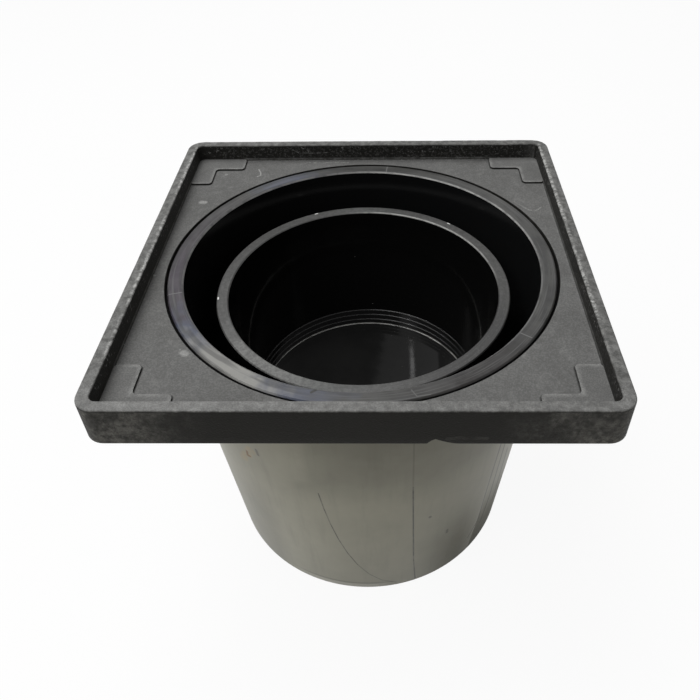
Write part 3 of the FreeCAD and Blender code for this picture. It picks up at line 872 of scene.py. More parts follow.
def ring_look(tree, spot, radius):
    """The top ring's colour with its painted reflections, where it is worn and where its lip has a painted
    highlight, and its turning marks.
    """
    turning = turning_tone(tree, spot, 0.5 * MM, 2.6)
    bands = turning_tone(tree, spot, 2.6 * MM, 4.2)
    film = dust_mask(tree, spot, 9 * MM, 0.0, 0.16)
    streaks = ease(tree, turning, 0.5, 0.68, 0.0, 0.35)
    # A painted highlight along the ring's inner lip.
    lip_highlight = ease(tree, radius, *RING_LIP, 0.0, 0.9)
    lip_highlight = all_of(tree, lip_highlight, cloud(tree, spot, 6 * MM, 0.3, 0.6, 0.3, 1.0))
    lines = lines_mask(tree, spot, FLAT, RING_LINES, 0.8 * MM, 0.8)
    scratches = lines_mask(tree, spot, FLAT, RING_SCRATCHES, 0.8 * MM, 0.45)
    wear_and_highlight = any_of(tree, film, streaks, lip_highlight, lines, scratches)
    # The ring's base colour is its painted reflections.
    colour = use(tree, RING_REFLECTIONS, {"Vector": spot})["Color"]
    colour = blend_colour(tree, ease(tree, bands, 0.4, 0.58, 0.55, 0.0), colour, RING_DARK)
    colour = blend_colour(tree, wear_and_highlight, colour, RING_WEAR_AND_HIGHLIGHT)
    colour = blend_colour(tree, bevel_highlight(tree, spot, radius, NECK_INSIDE), colour, BEVEL_HIGHLIGHT)
    dents = lines_mask(tree, spot, FLAT, RING_DENTS, 1.6 * MM)
    return blend_colour(tree, dents, colour, LINE_DARK), wear_and_highlight, turning


print("tub zones and ring ready")

# %% The look of the tub's outside
LOWER_BODY = (114 * MM, 82 * MM)
ACROSS_LOWER_BODY = (16 * MM, -30 * MM)
LEFT_BODY = (-4 * MM, -44 * MM)
FAR_LEFT = (-34 * MM, -52 * MM)
FAR_LEFT_LOW = (95 * MM, 35 * MM)
FAR_LEFT_FRONT = (0.0, -20 * MM)
RIGHT_BODY = (15 * MM, 50 * MM)
RIGHT_LOW = (100 * MM, 15 * MM)
FAR_RIGHT = (46 * MM, 66 * MM)
EDGE_FOOT, EDGE_SLOPE = 54 * MM, 0.125
PAST_EDGE = (-MM, MM)
EDGE_LOW = (80 * MM, 0.0)
RIGHT_FRONT = (0.0, -45 * MM)
FOOT_LEFT = (-44 * MM, -22 * MM)
FOOT_RIGHT = (16 * MM, 4 * MM)
# The foot's painted highlight, and the painted reflection of a dark line above it.
PALE_FOOT = (5.6 * MM, 4.4 * MM)
FOOT_LINE_UNDER = (5.2 * MM, 5.8 * MM)
FOOT_LINE_OVER = (7.2 * MM, 6.4 * MM)
STREAK_STRETCH = (1.0, 1.0, 0.06)


def body_paler(tree, spot, axes):
    """Painted light on the body: paler low down and on the left, but not in the low far left, with random
    paler patches.
    """
    lower = ease(tree, axes["Z"], *LOWER_BODY)
    lower = all_of(tree, lower, ease(tree, axes["X"], *ACROSS_LOWER_BODY, 0.52, 0.85))
    left = ease(tree, axes["X"], *LEFT_BODY, 0.0, 0.85)
    low_left = all_of(tree, ease(tree, axes["X"], *FAR_LEFT), ease(tree, axes["Z"], *FAR_LEFT_LOW))
    low_left = all_of(tree, low_left, ease(tree, axes["Y"], *FAR_LEFT_FRONT))
    paler = all_of(tree, any_of(tree, lower, left), ease(tree, low_left, 0.0, 1.0, 1.0, 0.25))
    return math_of(tree, "ADD", paler, cloud(tree, spot, 60 * MM, 0.35, 0.7, 0.0, 0.25))


def body_shade(tree, axes):
    """Where the body is dull and dark: low on the right, and past the lines near its right edge."""
    right = all_of(tree, ease(tree, axes["X"], *RIGHT_BODY), ease(tree, axes["Z"], *RIGHT_LOW, 0.0, 0.62))
    right = all_of(tree, right, ease(tree, axes["X"], *FAR_RIGHT, 1.0, 0.4))
    edge = math_of(tree, "MULTIPLY_ADD", axes["Z"], EDGE_SLOPE, EDGE_FOOT)
    past_edge = ease(tree, math_of(tree, "SUBTRACT", axes["X"], edge), *PAST_EDGE)
    past_edge = all_of(tree, past_edge, ease(tree, axes["Z"], *EDGE_LOW, 0.0, 0.85))
    return all_of(tree, any_of(tree, right, past_edge), ease(tree, axes["Y"], *RIGHT_FRONT))


def foot_highlight_look(tree, axes, front, colour):
    """A painted highlight on the foot, with a dark line above it that is a painted reflection, at the middle
    of the front.
    """
    middle = all_of(tree, front, ease(tree, axes["X"], *FOOT_LEFT), ease(tree, axes["X"], *FOOT_RIGHT))
    foot = all_of(tree, middle, ease(tree, axes["Z"], *PALE_FOOT, 0.0, 0.7))
    colour = blend_colour(tree, foot, colour, TUB_FOOT_HIGHLIGHT)
    foot_dark_line = ease(tree, axes["Z"], *FOOT_LINE_UNDER)
    foot_dark_line = all_of(tree, foot_dark_line, ease(tree, axes["Z"], *FOOT_LINE_OVER, 0.0, 0.35))
    return blend_colour(tree, all_of(tree, middle, foot_dark_line), colour, LINE_DARK)


def body_lines(tree, spot, front):
    """Painted reflections as dark, curved and faint lines on the body's front, and its dark specks."""
    dark = lines_mask(tree, spot, UPRIGHT, DARK_LINES, 1.0 * MM, 0.85)
    dark = any_of(tree, dark, lines_mask(tree, spot, UPRIGHT, CURVED_LINES, 0.9 * MM, 0.7))
    dark = all_of(tree, dark, cloud(tree, spot, 9 * MM, 0.35, 0.6, 0.55, 1.0))
    faint = lines_mask(tree, spot, UPRIGHT, FAINT_LINES, 1.1 * MM, 0.25)
    faint = any_of(tree, faint, lines_mask(tree, spot, UPRIGHT, EDGE_LINES, 1.2 * MM, 0.55))
    specks = lines_mask(tree, spot, ALL_WAYS, BODY_SPECKS, 2.2 * MM, 0.5)
    return all_of(tree, any_of(tree, dark, faint, specks), front)


def orange_spot_look(tree, spot, colour):
    """An orange spot: a ragged pale halo round an orange core."""
    halo = lines_mask(tree, spot, ALL_WAYS, ORANGE_SPOT_HALO, 7 * MM)
    halo = all_of(tree, halo, cloud(tree, spot, 3 * MM, 0.35, 0.65, 0.15, 0.6))
    core = lines_mask(tree, spot, ALL_WAYS, ORANGE_SPOT_CORE, 2.0 * MM, 0.8)
    return blend_colour(tree, core, blend_colour(tree, halo, colour, ORANGE_HALO_PALE), ORANGE_CORE)


def body_look(tree, spot, axes):
    """The colour of the tub's tapered outside with its painted light, shade, reflections and highlight, and
    where it is dull and dark.
    """
    front = ease(tree, axes["Y"], *FRONT_HALF)
    colour = blend_colour(tree, body_paler(tree, spot, axes), TUB_OUTSIDE, TUB_OUTSIDE_PALE)
    grit = specks_mask(tree, spot, 11 * MM, 0.35 * MM, 0.3, 0.3)
    drawn = vector_of(tree, "MULTIPLY", spot, STREAK_STRETCH).outputs[0]
    streaks = cloud(tree, drawn, 5 * MM, 0.45, 0.75, 0.0, 0.11)
    colour = blend_colour(tree, any_of(tree, grit, streaks), colour, TUB_OUTSIDE_DARK)
    # A pale upright band, a painted reflection.
    pale_patch = lines_mask(tree, spot, UPRIGHT, PALE_REFLECTION_BANDS, 18 * MM)
    pale_patch = all_of(tree, pale_patch, front, cloud(tree, spot, 12 * MM, 0.3, 0.7, 0.12, 0.4))
    colour = blend_colour(tree, pale_patch, colour, TUB_PALE_REFLECTION)
    # Painted shade low on the right and past the lines near the right edge.
    shade = body_shade(tree, axes)
    colour = blend_colour(tree, shade, colour, TUB_OUTSIDE_DARK)
    colour = foot_highlight_look(tree, axes, front, colour)
    colour = blend_colour(tree, body_lines(tree, spot, front), colour, LINE_DARK)
    return orange_spot_look(tree, spot, colour), shade


print("tub outside ready")

# %% Tub finish
TUB_GLOSS = 0.16
RING_SATIN = (0.36, 0.6)
BODY_DULL = (0.24, 0.6)
GAP_DULL = 0.95
TUB_WAVE = 9 * MM
TUB_BUMP = 0.05 * MM
RING_BUMP = 0.5
TUB_SPECULAR = 0.28


def tub_finish():
    """Gloss inside, the satin ring, the dusty outside with its painted light and shade, and painted shade in
    the gap.
    """
    material, tree, spot = start_material("tub_plastic")
    axes = axes_of(tree, spot)
    radius = length_of(tree, axes["X"], axes["Y"])
    outside, ring, gap = tub_zones(tree, axes, radius)
    ring_colour, wear_and_highlight, turning = ring_look(tree, spot, radius)
    colour = blend_colour(tree, ring, TUB_BLACK, ring_colour)
    body_colour, shade = body_look(tree, spot, axes)
    colour = blend_colour(tree, outside, colour, body_colour)
    # Painted shade in the gap round the neck.
    colour = blend_colour(tree, gap, colour, GAP_SHADE)

    satin = all_of(tree, ring, ease(tree, wear_and_highlight, 0.0, 1.0, *RING_SATIN))
    roughness = math_of(tree, "ADD", satin, ease(tree, ring, 0.0, 1.0, TUB_GLOSS, 0.0))
    dull = all_of(tree, outside, ease(tree, shade, 0.0, 1.0, *BODY_DULL))
    roughness = any_of(tree, math_of(tree, "ADD", roughness, dull), all_of(tree, gap, GAP_DULL))
    wave = use(tree, GRAIN, {"Vector": spot, "Grain Size": TUB_WAVE})["Height"]
    height = math_of(tree, "ADD", wave, all_of(tree, turning, ring, RING_BUMP))
    end_material(tree, colour, roughness, height, TUB_BUMP, TUB_SPECULAR)
    return material


TUB_FINISH = tub_finish()
print(TUB_FINISH.name, len(TUB_FINISH.node_tree.nodes), "nodes")

# %% [markdown]
# ## Cup plastic
#
# The cup is glossy black, but its rim was cut and is dull, toned round it and mottled, with three white
# crumbs on it and the same painted highlight on its bevel as the ring. A few pale specks lie on its floor
# and wall, and a painted highlight runs where the wall meets the floor. The floor is almost a mirror, so a
# lamp draws a clear streak on it.

# %% Cup finish
CUP_BLACK = (0.0045, 0.0045, 0.0044, 1.0)
CUP_SPECK_AND_HIGHLIGHT = (0.3, 0.3, 0.285, 1.0)
CUT_SHADE = (0.01, 0.0098, 0.0095, 1.0)
CRUMB_WHITE = (0.7, 0.7, 0.68, 1.0)
CRUMB_ANGLES = (113.7, -172.4, 50.2)
CRUMB_HALF_TURN = 0.5
CRUMB_INSET = 0.8
CUT_FACE = (CUP_RIM - 0.9 * MM, CUP_RIM - 0.6 * MM)
SEAM_HEIGHT = (CUP_FLOOR + 0.7 * MM, CUP_FLOOR + 0.4 * MM)
SEAM_RADIUS = (CUP_FLOOR_RADIUS - 0.7 * MM, CUP_FLOOR_RADIUS - 0.4 * MM)
SEAM_BEHIND = (-10 * MM, 40 * MM)
CUP_ROUGHNESS = (0.085, 0.5)
CUP_WAVE = 8 * MM
CUP_BUMP = 0.03 * MM
CUT_BUMP = 0.4
CUP_SPECULAR = 0.5


def crumbs():
    """Three short lines along the rim's outer edge, in millimetres."""
    radius = CUP_RADIUS / MM - CRUMB_INSET
    runs = []
    for degrees in CRUMB_ANGLES:
        ends = [math.radians(degrees + step) for step in (-CRUMB_HALF_TURN, CRUMB_HALF_TURN)]
        runs.append([(radius * math.cos(turn), radius * math.sin(turn), 0) for turn in ends])
    return runs


def floor_seam_highlight(tree, spot, axes, radius):
    """A painted highlight where the cup's wall meets its floor, strongest behind."""
    seam = all_of(tree, ease(tree, axes["Z"], *SEAM_HEIGHT), ease(tree, radius, *SEAM_RADIUS))
    behind = ease(tree, axes["Y"], *SEAM_BEHIND, 0.1, 1.0)
    return all_of(tree, seam, behind, cloud(tree, spot, 14 * MM, 0.3, 0.6, 0.3, 1.0))


def cut_look(tree, spot, radius, turning):
    """The cut rim's colour: toned round it, turned, mottled, with a painted highlight along its bevel and
    crumbs on it.
    """
    cut = use(tree, CUT_RIM_TONES, {"Vector": spot})["Color"]
    cut = blend_colour(tree, ease(tree, turning, 0.38, 0.8, 0.0, 0.2), cut, RING_WEAR_AND_HIGHLIGHT)
    cut = blend_colour(tree, cloud(tree, spot, 1.5 * MM, 0.36, 0.64, 0.0, 0.6), cut, CUT_SHADE)
    cut = blend_colour(tree, cloud(tree, spot, 1.0 * MM, 0.52, 0.72, 0.0, 0.25), cut, RING_WEAR_AND_HIGHLIGHT)
    cut = blend_colour(tree, bevel_highlight(tree, spot, radius, CUP_INSIDE), cut, BEVEL_HIGHLIGHT)
    return blend_colour(tree, lines_mask(tree, spot, FLAT, crumbs(), 1.0 * MM), cut, CRUMB_WHITE)


def cup_finish():
    """Gloss with a few specks, and the dull cut rim."""
    material, tree, spot = start_material("cup_plastic")
    axes = axes_of(tree, spot)
    radius = length_of(tree, axes["X"], axes["Y"])
    rim = ease(tree, axes["Z"], *CUT_FACE)
    turning = turning_tone(tree, spot, 0.6 * MM, 3.4)
    colour = blend_colour(tree, rim, CUP_BLACK, cut_look(tree, spot, radius, turning))
    specks = specks_mask(tree, spot, 9 * MM, 0.3 * MM, 0.25, 0.5)
    colour = blend_colour(tree, specks, colour, CUP_SPECK_AND_HIGHLIGHT)
    film = dust_mask(tree, spot, 30 * MM, 0.0, 0.012)
    # Dust film, and the painted highlight where the wall meets the floor.
    colour = blend_colour(tree, any_of(tree, film, floor_seam_highlight(tree, spot, axes, radius)), colour, CUP_SPECK_AND_HIGHLIGHT)
    roughness = math_of(tree, "ADD", ease(tree, rim, 0.0, 1.0, *CUP_ROUGHNESS), film)
    wave = use(tree, GRAIN, {"Vector": spot, "Grain Size": CUP_WAVE})["Height"]
    height = math_of(tree, "ADD", wave, all_of(tree, turning, rim, CUT_BUMP))
    end_material(tree, colour, roughness, height, CUP_BUMP, CUP_SPECULAR)
    return material


CUP_FINISH = cup_finish()
print(CUP_FINISH.name, len(CUP_FINISH.node_tree.nodes), "nodes")

# %% [markdown]
# ## Pieces from node trees
#
# The tub and the cup are turned shapes: one half section, carried round the axis. The pads, webs and ribs
# are outlines with rounded corners, thickened and repeated round the axis. Both are rules, so each is a
# Geometry Nodes tree with named inputs. A maker object runs the tree, and its result is kept as a plain
# mesh.

# %% Run a tree and keep its mesh
MESH_OUTPUT = [("Geometry", "NodeSocketGeometry")]
DOUBLES = 0.002 * MM
BEVEL_STEPS = 2
BEVEL_ANGLE = math.radians(50)


def outline_mesh(name, corners, closed):
    """A line through the corners, each (across, up, rounding), with the rounding kept as an attribute."""
    mesh = bpy.data.meshes.new(name)
    last = len(corners) if closed else len(corners) - 1
    edges = [(number, (number + 1) % len(corners)) for number in range(last)]
    mesh.from_pydata([(across, up, 0.0) for across, up, _ in corners], edges, [])
    rounding = mesh.attributes.new("rounding", "FLOAT", "POINT")
    rounding.data.foreach_set("value", [corner[2] for corner in corners])
    return mesh


def clean(mesh):
    """Merge doubles, turn all faces outwards and count the edges that stay open."""
    work = bmesh.new()
    work.from_mesh(mesh)
    bmesh.ops.remove_doubles(work, verts=work.verts, dist=DOUBLES)
    bmesh.ops.recalc_face_normals(work, faces=work.faces)
    open_edges = sum(1 for edge in work.edges if not edge.is_manifold)
    work.to_mesh(mesh)
    work.free()
    return open_edges


def grown(name, seed, tree, values, bevel=0.0):
    """The mesh that a tree grows from a seed mesh, as a new piece at the origin."""
    maker = bpy.data.objects.new(f"{name}_maker", seed)
    bpy.context.scene.collection.objects.link(maker)
    modifier = maker.modifiers.new("grow", "NODES")
    modifier.node_group = tree
    for item in tree.interface.items_tree:
        if item.in_out == "INPUT" and item.name in values:
            modifier[item.identifier] = values[item.name]
    if bevel:
        soften = maker.modifiers.new("soften", "BEVEL")
        soften.width = bevel
        soften.segments = BEVEL_STEPS
        soften.limit_method = "ANGLE"
        soften.angle_limit = BEVEL_ANGLE
    ready = maker.evaluated_get(bpy.context.evaluated_depsgraph_get())
    mesh = bpy.data.meshes.new_from_object(ready)
    bpy.data.objects.remove(maker)
    open_edges = clean(mesh)
    mesh.name = name
    piece = bpy.data.objects.new(name, mesh)
    bpy.context.scene.collection.objects.link(piece)
    print(name, len(mesh.polygons), "faces,", open_edges, "open edges")
    return piece


def dress(piece, slot, *nodes):
    """Let a piece ride on the drain and stand for solids. The slot is not used."""
    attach(piece, "root")
    if nodes:
        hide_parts(*nodes)


print("piece helpers ready")

# %% The turned-shell tree
TURN_RADIUS = 0.05


def make_turned_shell():
    """Rounds the corners of a half section and carries it round the axis."""
    inputs = [("Geometry", "NodeSocketGeometry", None), ("Segments", "NodeSocketInt", 192)]
    inputs += [("Corner Steps", "NodeSocketInt", 5), ("Turn Radius", "NodeSocketFloat", TURN_RADIUS)]
    inputs.append(("Material", "NodeSocketMaterial", None))
    tree, given, wanted = new_group("GeometryNodeTree", "turned_shell", inputs, MESH_OUTPUT)
    section = place(tree, "GeometryNodeMeshToCurve", None, {"Mesh": given["Geometry"]})
    kept = place(tree, "GeometryNodeInputNamedAttribute", {"data_type": "FLOAT"}, {"Name": "rounding"})
    rounded = place(tree, "GeometryNodeFilletCurve", {"mode": "POLY"}, {
        "Curve": section.outputs[0], "Radius": kept.outputs[0], "Count": given["Corner Steps"]})
    ring = place(tree, "GeometryNodeCurvePrimitiveCircle", {"mode": "RADIUS"}, {
        "Resolution": given["Segments"], "Radius": given["Turn Radius"]})
    turned = place(tree, "GeometryNodeCurveToMesh", None, {
        "Curve": ring.outputs[0], "Profile Curve": rounded.outputs[0]})
    smooth = place(tree, "GeometryNodeSetShadeSmooth", None, {"Geometry": turned.outputs[0]})
    real = place(tree, "GeometryNodeRealizeInstances", None, {"Geometry": smooth.outputs[0]})
    coated = place(tree, "GeometryNodeSetMaterial", None, {
        "Geometry": real.outputs[0], "Material": given["Material"]})
    tree.links.new(coated.outputs[0], wanted["Geometry"])
    return tree


TURNED_SHELL = make_turned_shell()
SUPPORT = 0.35 * MM
SUPPORT_REACH = 1.25
LEAST_LEG = 2.6


def with_supports(corners, closed):
    """Adds a point on each side of a rounded corner, so that flat stretches stay flat in smooth shading."""
    count = len(corners)
    full = []
    for number, (across, up, rounding) in enumerate(corners):
        here = Vector((across, up))
        ends = [corners[number - 1], corners[(number + 1) % count]]
        open_end = not closed and number in (0, count - 1)
        sides = []
        for other in ends:
            leg = Vector(other[:2]) - here
            reach = rounding * SUPPORT_REACH + SUPPORT
            sides.append(here + leg.normalized() * reach if leg.length > LEAST_LEG * reach else None)
        before, after = (None, None) if open_end or not rounding else sides
        if before is not None:
            full.append((before.x, before.y, 0.0))
        full.append((across, up, rounding))
        if after is not None:
            full.append((after.x, after.y, 0.0))
    return full


def cut_corners(corners):
    """Replaces a corner that has a bevel, (across, up, rounding, bevel), by two points along its legs."""
    cut = []
    for number, (across, up, rounding, *bevel) in enumerate(corners):
        here = Vector((across, up))
        if not bevel:
            cut.append((across, up, rounding))
            continue
        for other in (corners[number - 1], corners[(number + 1) % len(corners)]):
            leg = Vector(other[:2]) - here
            end = here + leg.normalized() * bevel[0]
            cut.append((end.x, end.y, rounding))
    return cut


def turned_piece(name, corners, closed, material):
    """A turned piece from its half section: corners (radius, height, rounding) or with a bevel as well."""
    corners = with_supports(cut_corners(corners), closed)
    section = [(radius - TURN_RADIUS, -height, rounding) for radius, height, rounding in corners]
    return grown(name, outline_mesh(name, section, closed), TURNED_SHELL, {"Material": material})


print("tree:", TURNED_SHELL.name)

# %% The tree that repeats an outline round the axis
MERGE_REACH = 0.001 * MM


def make_repeated():
    """Fills an outline with rounded corners, thickens it, stands it up and repeats it round the axis."""
    inputs = [("Geometry", "NodeSocketGeometry", None), ("Count", "NodeSocketInt", 4)]
    inputs += [("Corner Round", "NodeSocketFloat", 0.0), ("Corner Steps", "NodeSocketInt", 6)]
    inputs += [("Thickness", "NodeSocketFloat", MM), ("Stand", "NodeSocketVector", None)]
    inputs += [("Shift", "NodeSocketVector", None), ("First Turn", "NodeSocketFloat", 0.0)]
    inputs.append(("Material", "NodeSocketMaterial", None))
    tree, given, wanted = new_group("GeometryNodeTree", "repeated_round", inputs, MESH_OUTPUT)
    line = place(tree, "GeometryNodeMeshToCurve", None, {"Mesh": given["Geometry"]})
    rounded = place(tree, "GeometryNodeFilletCurve", {"mode": "POLY"}, {
        "Curve": line.outputs[0], "Radius": given["Corner Round"], "Count": given["Corner Steps"]})
    sheet = place(tree, "GeometryNodeFillCurve", {"mode": "NGONS"}, {"Curve": rounded.outputs[0]})
    raised = place(tree, "GeometryNodeExtrudeMesh", {"mode": "FACES"}, {
        "Mesh": sheet.outputs[0], "Offset Scale": given["Thickness"], "Individual": False})
    under = place(tree, "GeometryNodeFlipFaces", None, {"Mesh": sheet.outputs[0]})
    solid = tree.nodes.new("GeometryNodeJoinGeometry")
    tree.links.new(under.outputs[0], solid.inputs[0])
    tree.links.new(raised.outputs[0], solid.inputs[0])
    whole = place(tree, "GeometryNodeMergeByDistance", None, {
        "Geometry": solid.outputs[0], "Distance": MERGE_REACH})
    stood = place(tree, "GeometryNodeTransform", None, {
        "Geometry": whole.outputs[0], "Rotation": given["Stand"], "Translation": given["Shift"]})
    posts = place(tree, "GeometryNodePoints", None, {"Count": given["Count"]})
    step = math_of(tree, "DIVIDE", math.tau, given["Count"])
    number = place(tree, "GeometryNodeInputIndex").outputs[0]
    turn = math_of(tree, "MULTIPLY_ADD", number, step, given["First Turn"])
    spin = place(tree, "ShaderNodeCombineXYZ", None, {"Z": turn})
    copies = place(tree, "GeometryNodeInstanceOnPoints", None, {
        "Points": posts.outputs[0], "Instance": stood.outputs[0], "Rotation": spin.outputs[0]})
    real = place(tree, "GeometryNodeRealizeInstances", None, {"Geometry": copies.outputs[0]})
    coated = place(tree, "GeometryNodeSetMaterial", None, {
        "Geometry": real.outputs[0], "Material": given["Material"]})
    tree.links.new(coated.outputs[0], wanted["Geometry"])
    return tree


REPEATED = make_repeated()
print("tree:", REPEATED.name)

# %% [markdown]
# ## The tub
#
# Its half section goes once round: the ring, the neck down to the flange that the frame lies on, the
# tapered outside to the foot, back up under the raised floor, round the outlet, and up the inside. Each
# corner has its own rounding. Six ribs on the floor carry the cup. Each has a stop at its outer end, so
# that the cup stays in the middle.

# %% Tub and its ribs
FLOOR_EDGE = CUP_BOTTOM - 12.0 * MM
FLOOR_MIDDLE = FLOOR_EDGE - 4.0 * MM
FLOOR_THICKNESS = 4.0 * MM
OUTLET_RADIUS = FOOT_RADIUS - FOOT_WALL - 16.0 * MM
OUTLET_BORE = OUTLET_RADIUS - 3.4 * MM
OUTLET_END = 2.0 * MM
OUTLET_LEAD = 1.5 * MM
RIB_THICKNESS = 4.0 * MM
RIB_COUNT = 6
STOP_GAP = 0.9 * MM
STOP_HEIGHT = 4.0 * MM


def tub_outside(height):
    """Radius of the tub's tapered outside at a height."""
    return FOOT_RADIUS + (TUB_TOP_RADIUS - FOOT_RADIUS) * height / FLANGE_BOTTOM


def make_tub():
    """The tub's shell, from a closed half section that starts at the ring."""
    floor_under = FLOOR_EDGE - FLOOR_THICKNESS
    corners = [
        (NECK_INSIDE, RECESS_FLOOR, 0.15 * MM, 0.7 * MM),
        (NECK_RADIUS, RECESS_FLOOR, 0.15 * MM, 0.6 * MM),
        (NECK_RADIUS, PLATE_UNDERSIDE, 0.3 * MM),
        (FLANGE_RADIUS, PLATE_UNDERSIDE, 0.5 * MM),
        (FLANGE_RADIUS, FLANGE_BOTTOM, 0.5 * MM),
        (TUB_TOP_RADIUS, FLANGE_BOTTOM, 0.5 * MM),
        (FOOT_RADIUS, 0.0, 0.2 * MM, 1.3 * MM),
        (FOOT_RADIUS - FOOT_WALL, 0.0, 1.1 * MM),
        (tub_outside(floor_under) - FOOT_WALL, floor_under, 1.0 * MM),
        (OUTLET_RADIUS, FLOOR_MIDDLE - FLOOR_THICKNESS, 1.0 * MM),
        (OUTLET_RADIUS, OUTLET_END + OUTLET_LEAD, 0.3 * MM),
        (OUTLET_RADIUS - OUTLET_LEAD, OUTLET_END, 0.2 * MM),
        (OUTLET_BORE, OUTLET_END, 0.4 * MM),
        (OUTLET_BORE, FLOOR_MIDDLE, 1.0 * MM),
        (tub_outside(FLOOR_EDGE) - FOOT_WALL, FLOOR_EDGE, 1.5 * MM),
    ]
    return turned_piece("tub_shell", corners, True, TUB_FINISH)


def make_ribs():
    """The ribs on the tub's floor, with the stops round the cup."""
    root = 0.5 * FLOOR_THICKNESS
    rib_end = tub_outside(FLOOR_EDGE) - 0.5 * FOOT_WALL
    stop = CUP_RADIUS - CUP_TAPER + STOP_GAP
    stop_top = CUP_BOTTOM + STOP_HEIGHT
    corners = [
        (OUTLET_RADIUS, CUP_BOTTOM, 0.0),
        (OUTLET_RADIUS, FLOOR_MIDDLE - root, 0.0),
        (rib_end, FLOOR_EDGE - root, 0.0),
        (rib_end, stop_top, 0.0),
        (stop, stop_top, 0.0),
        (stop, CUP_BOTTOM, 0.0),
    ]
    values = {"Count": RIB_COUNT, "Thickness": RIB_THICKNESS, "Corner Round": 0.2 * MM}
    values["Material"] = TUB_FINISH
    values["Stand"] = (math.pi / 2, 0.0, 0.0)
    values["Shift"] = (0.0, 0.5 * RIB_THICKNESS, 0.0)
    return grown("cup_ribs", outline_mesh("cup_ribs", corners, True), REPEATED, values, bevel=0.25 * MM)


dress(make_tub(), "tub_plastic", "tub")
dress(make_ribs(), "tub_plastic")

# %% [markdown]
# ## The cup
#
# The cup's half section starts on the axis under its floor and ends on the axis above it, so the turned
# mesh closes at both poles. Where the wall meets the floor it comes in by three fine steps, which catch
# the light as thin bright arcs.

# %% Cup
def make_cup():
    """The cup's shell, with the steps round its floor."""
    corners = [
        (0.0, CUP_BOTTOM, 0.0),
        (CUP_RADIUS - CUP_TAPER, CUP_BOTTOM, 2.4 * MM),
        (CUP_RADIUS, CUP_RIM, 0.15 * MM, 0.5 * MM),
        (CUP_INSIDE, CUP_RIM, 0.15 * MM, 0.5 * MM),
    ]
    for step in range(STEP_COUNT, 0, -1):
        up = CUP_FLOOR + step * STEP_HEIGHT
        corners.append((CUP_FLOOR_RADIUS + step * STEP_WIDTH, up, 0.12 * MM))
        corners.append((CUP_FLOOR_RADIUS + (step - 1) * STEP_WIDTH, up, 0.16 * MM))
    corners.append((CUP_FLOOR_RADIUS, CUP_FLOOR, 0.35 * MM))
    corners.append((0.0, CUP_FLOOR, 0.0))
    return turned_piece("cup_shell", corners, False, CUP_FINISH)


dress(make_cup(), "cup_plastic", "cup")

# %% [markdown]
# ## The frame
#
# The frame goes from a round opening to a square outside, which is no turned shape. It is a loft: loops
# of points that lie round each other, circles near the opening and rounded squares near the rim, joined
# by faces all the way round the wall's section. Each corner keeps its middle from loop to loop, so a loop
# further out is the same square with a larger corner radius. Near the broken nick the lowest loops are
# lifted.

# %% Loops of the frame
RUN_POINTS = 120
CORNER_POINTS = 10
EDGE_ROUND = 0.7 * MM
FOOT_ROUND = 0.5 * MM
INNER_ROUND = 0.8 * MM
OPENING_ROUND = 0.3 * MM
ARC_STEPS = 4
SHOULDER_DROP = 2.2
FACE_INSET = 1.8
SIDE_UPPER = 8 * MM
SIDE_LOWER = 3.8 * MM


def square_loop(offset):
    """Points round a square with rounded corners, offset outwards from the frame's outer side."""
    half = HALF_SIDE + offset
    radius = FRAME_CORNER + offset
    points = []
    for side in range(4):
        turn = Matrix.Rotation(side * math.pi / 2, 2)
        reach = half - radius
        for step in range(RUN_POINTS):
            points.append(turn @ Vector((half, reach * (2 * step / RUN_POINTS - 1))))
        for step in range(CORNER_POINTS):
            angle = math.pi / 2 * step / CORNER_POINTS
            across = reach + radius * math.cos(angle)
            deep = reach + radius * math.sin(angle)
            points.append(turn @ Vector((across, deep)))
    return points


ANGLES = [math.atan2(point.y, point.x) for point in square_loop(-RIM_WALL)]


def circle_loop(radius):
    """A circle with one point for each point of a square loop."""
    return [Vector((radius * math.cos(angle), radius * math.sin(angle))) for angle in ANGLES]


def mixed_loop(radius, offset, share):
    """A loop on the way from a circle to a rounded square."""
    return [inner.lerp(outer, share) for inner, outer in zip(circle_loop(radius), square_loop(offset))]


def corner_arc(middle_across, middle_up, radius, start, end):
    """(across, up) along a rounded edge of the section, from one angle to the other, in degrees."""
    arc = []
    for step in range(ARC_STEPS + 1):
        angle = math.radians(start + (end - start) * step / ARC_STEPS)
        arc.append((middle_across + radius * math.cos(angle), middle_up + radius * math.sin(angle)))
    return arc


def wall_section():
    """The rim's section as (offset, height, is_edge), from the recess floor over the rim to the plate."""
    inner, top, foot = -RIM_WALL, RIM_TOP, FRAME_BOTTOM
    shoulder = top - SHOULDER_DROP * EDGE_ROUND
    inset = FACE_INSET * EDGE_ROUND
    recess_side = corner_arc(inner - INNER_ROUND, RECESS_FLOOR + INNER_ROUND, INNER_ROUND, 270, 360)
    recess_side += [(inner, RECESS_FLOOR + 2 * INNER_ROUND), (inner, shoulder)]
    inner_edge = corner_arc(inner + EDGE_ROUND, top - EDGE_ROUND, EDGE_ROUND, 180, 90)
    face = [(inner + inset, top), (0.5 * inner, top), (-inset, top)]
    outer_edge = corner_arc(-EDGE_ROUND, top - EDGE_ROUND, EDGE_ROUND, 90, 0)
    outer_side = [(0.0, shoulder), (0.0, top - SIDE_UPPER), (0.0, foot + SIDE_LOWER)]
    outer_side += corner_arc(-FOOT_ROUND, foot + FOOT_ROUND, FOOT_ROUND, 0, -90)
    outer_side += corner_arc(inner + FOOT_ROUND, foot + FOOT_ROUND, FOOT_ROUND, 270, 180)
    outer_side += corner_arc(inner - INNER_ROUND, PLATE_UNDERSIDE - INNER_ROUND, INNER_ROUND, 0, 90)
    section = []
    for stretch in (recess_side, inner_edge, face, outer_edge, outer_side):
        is_edge = stretch in (inner_edge, outer_edge)
        section += [(*spot, is_edge) for spot in stretch]
    return section


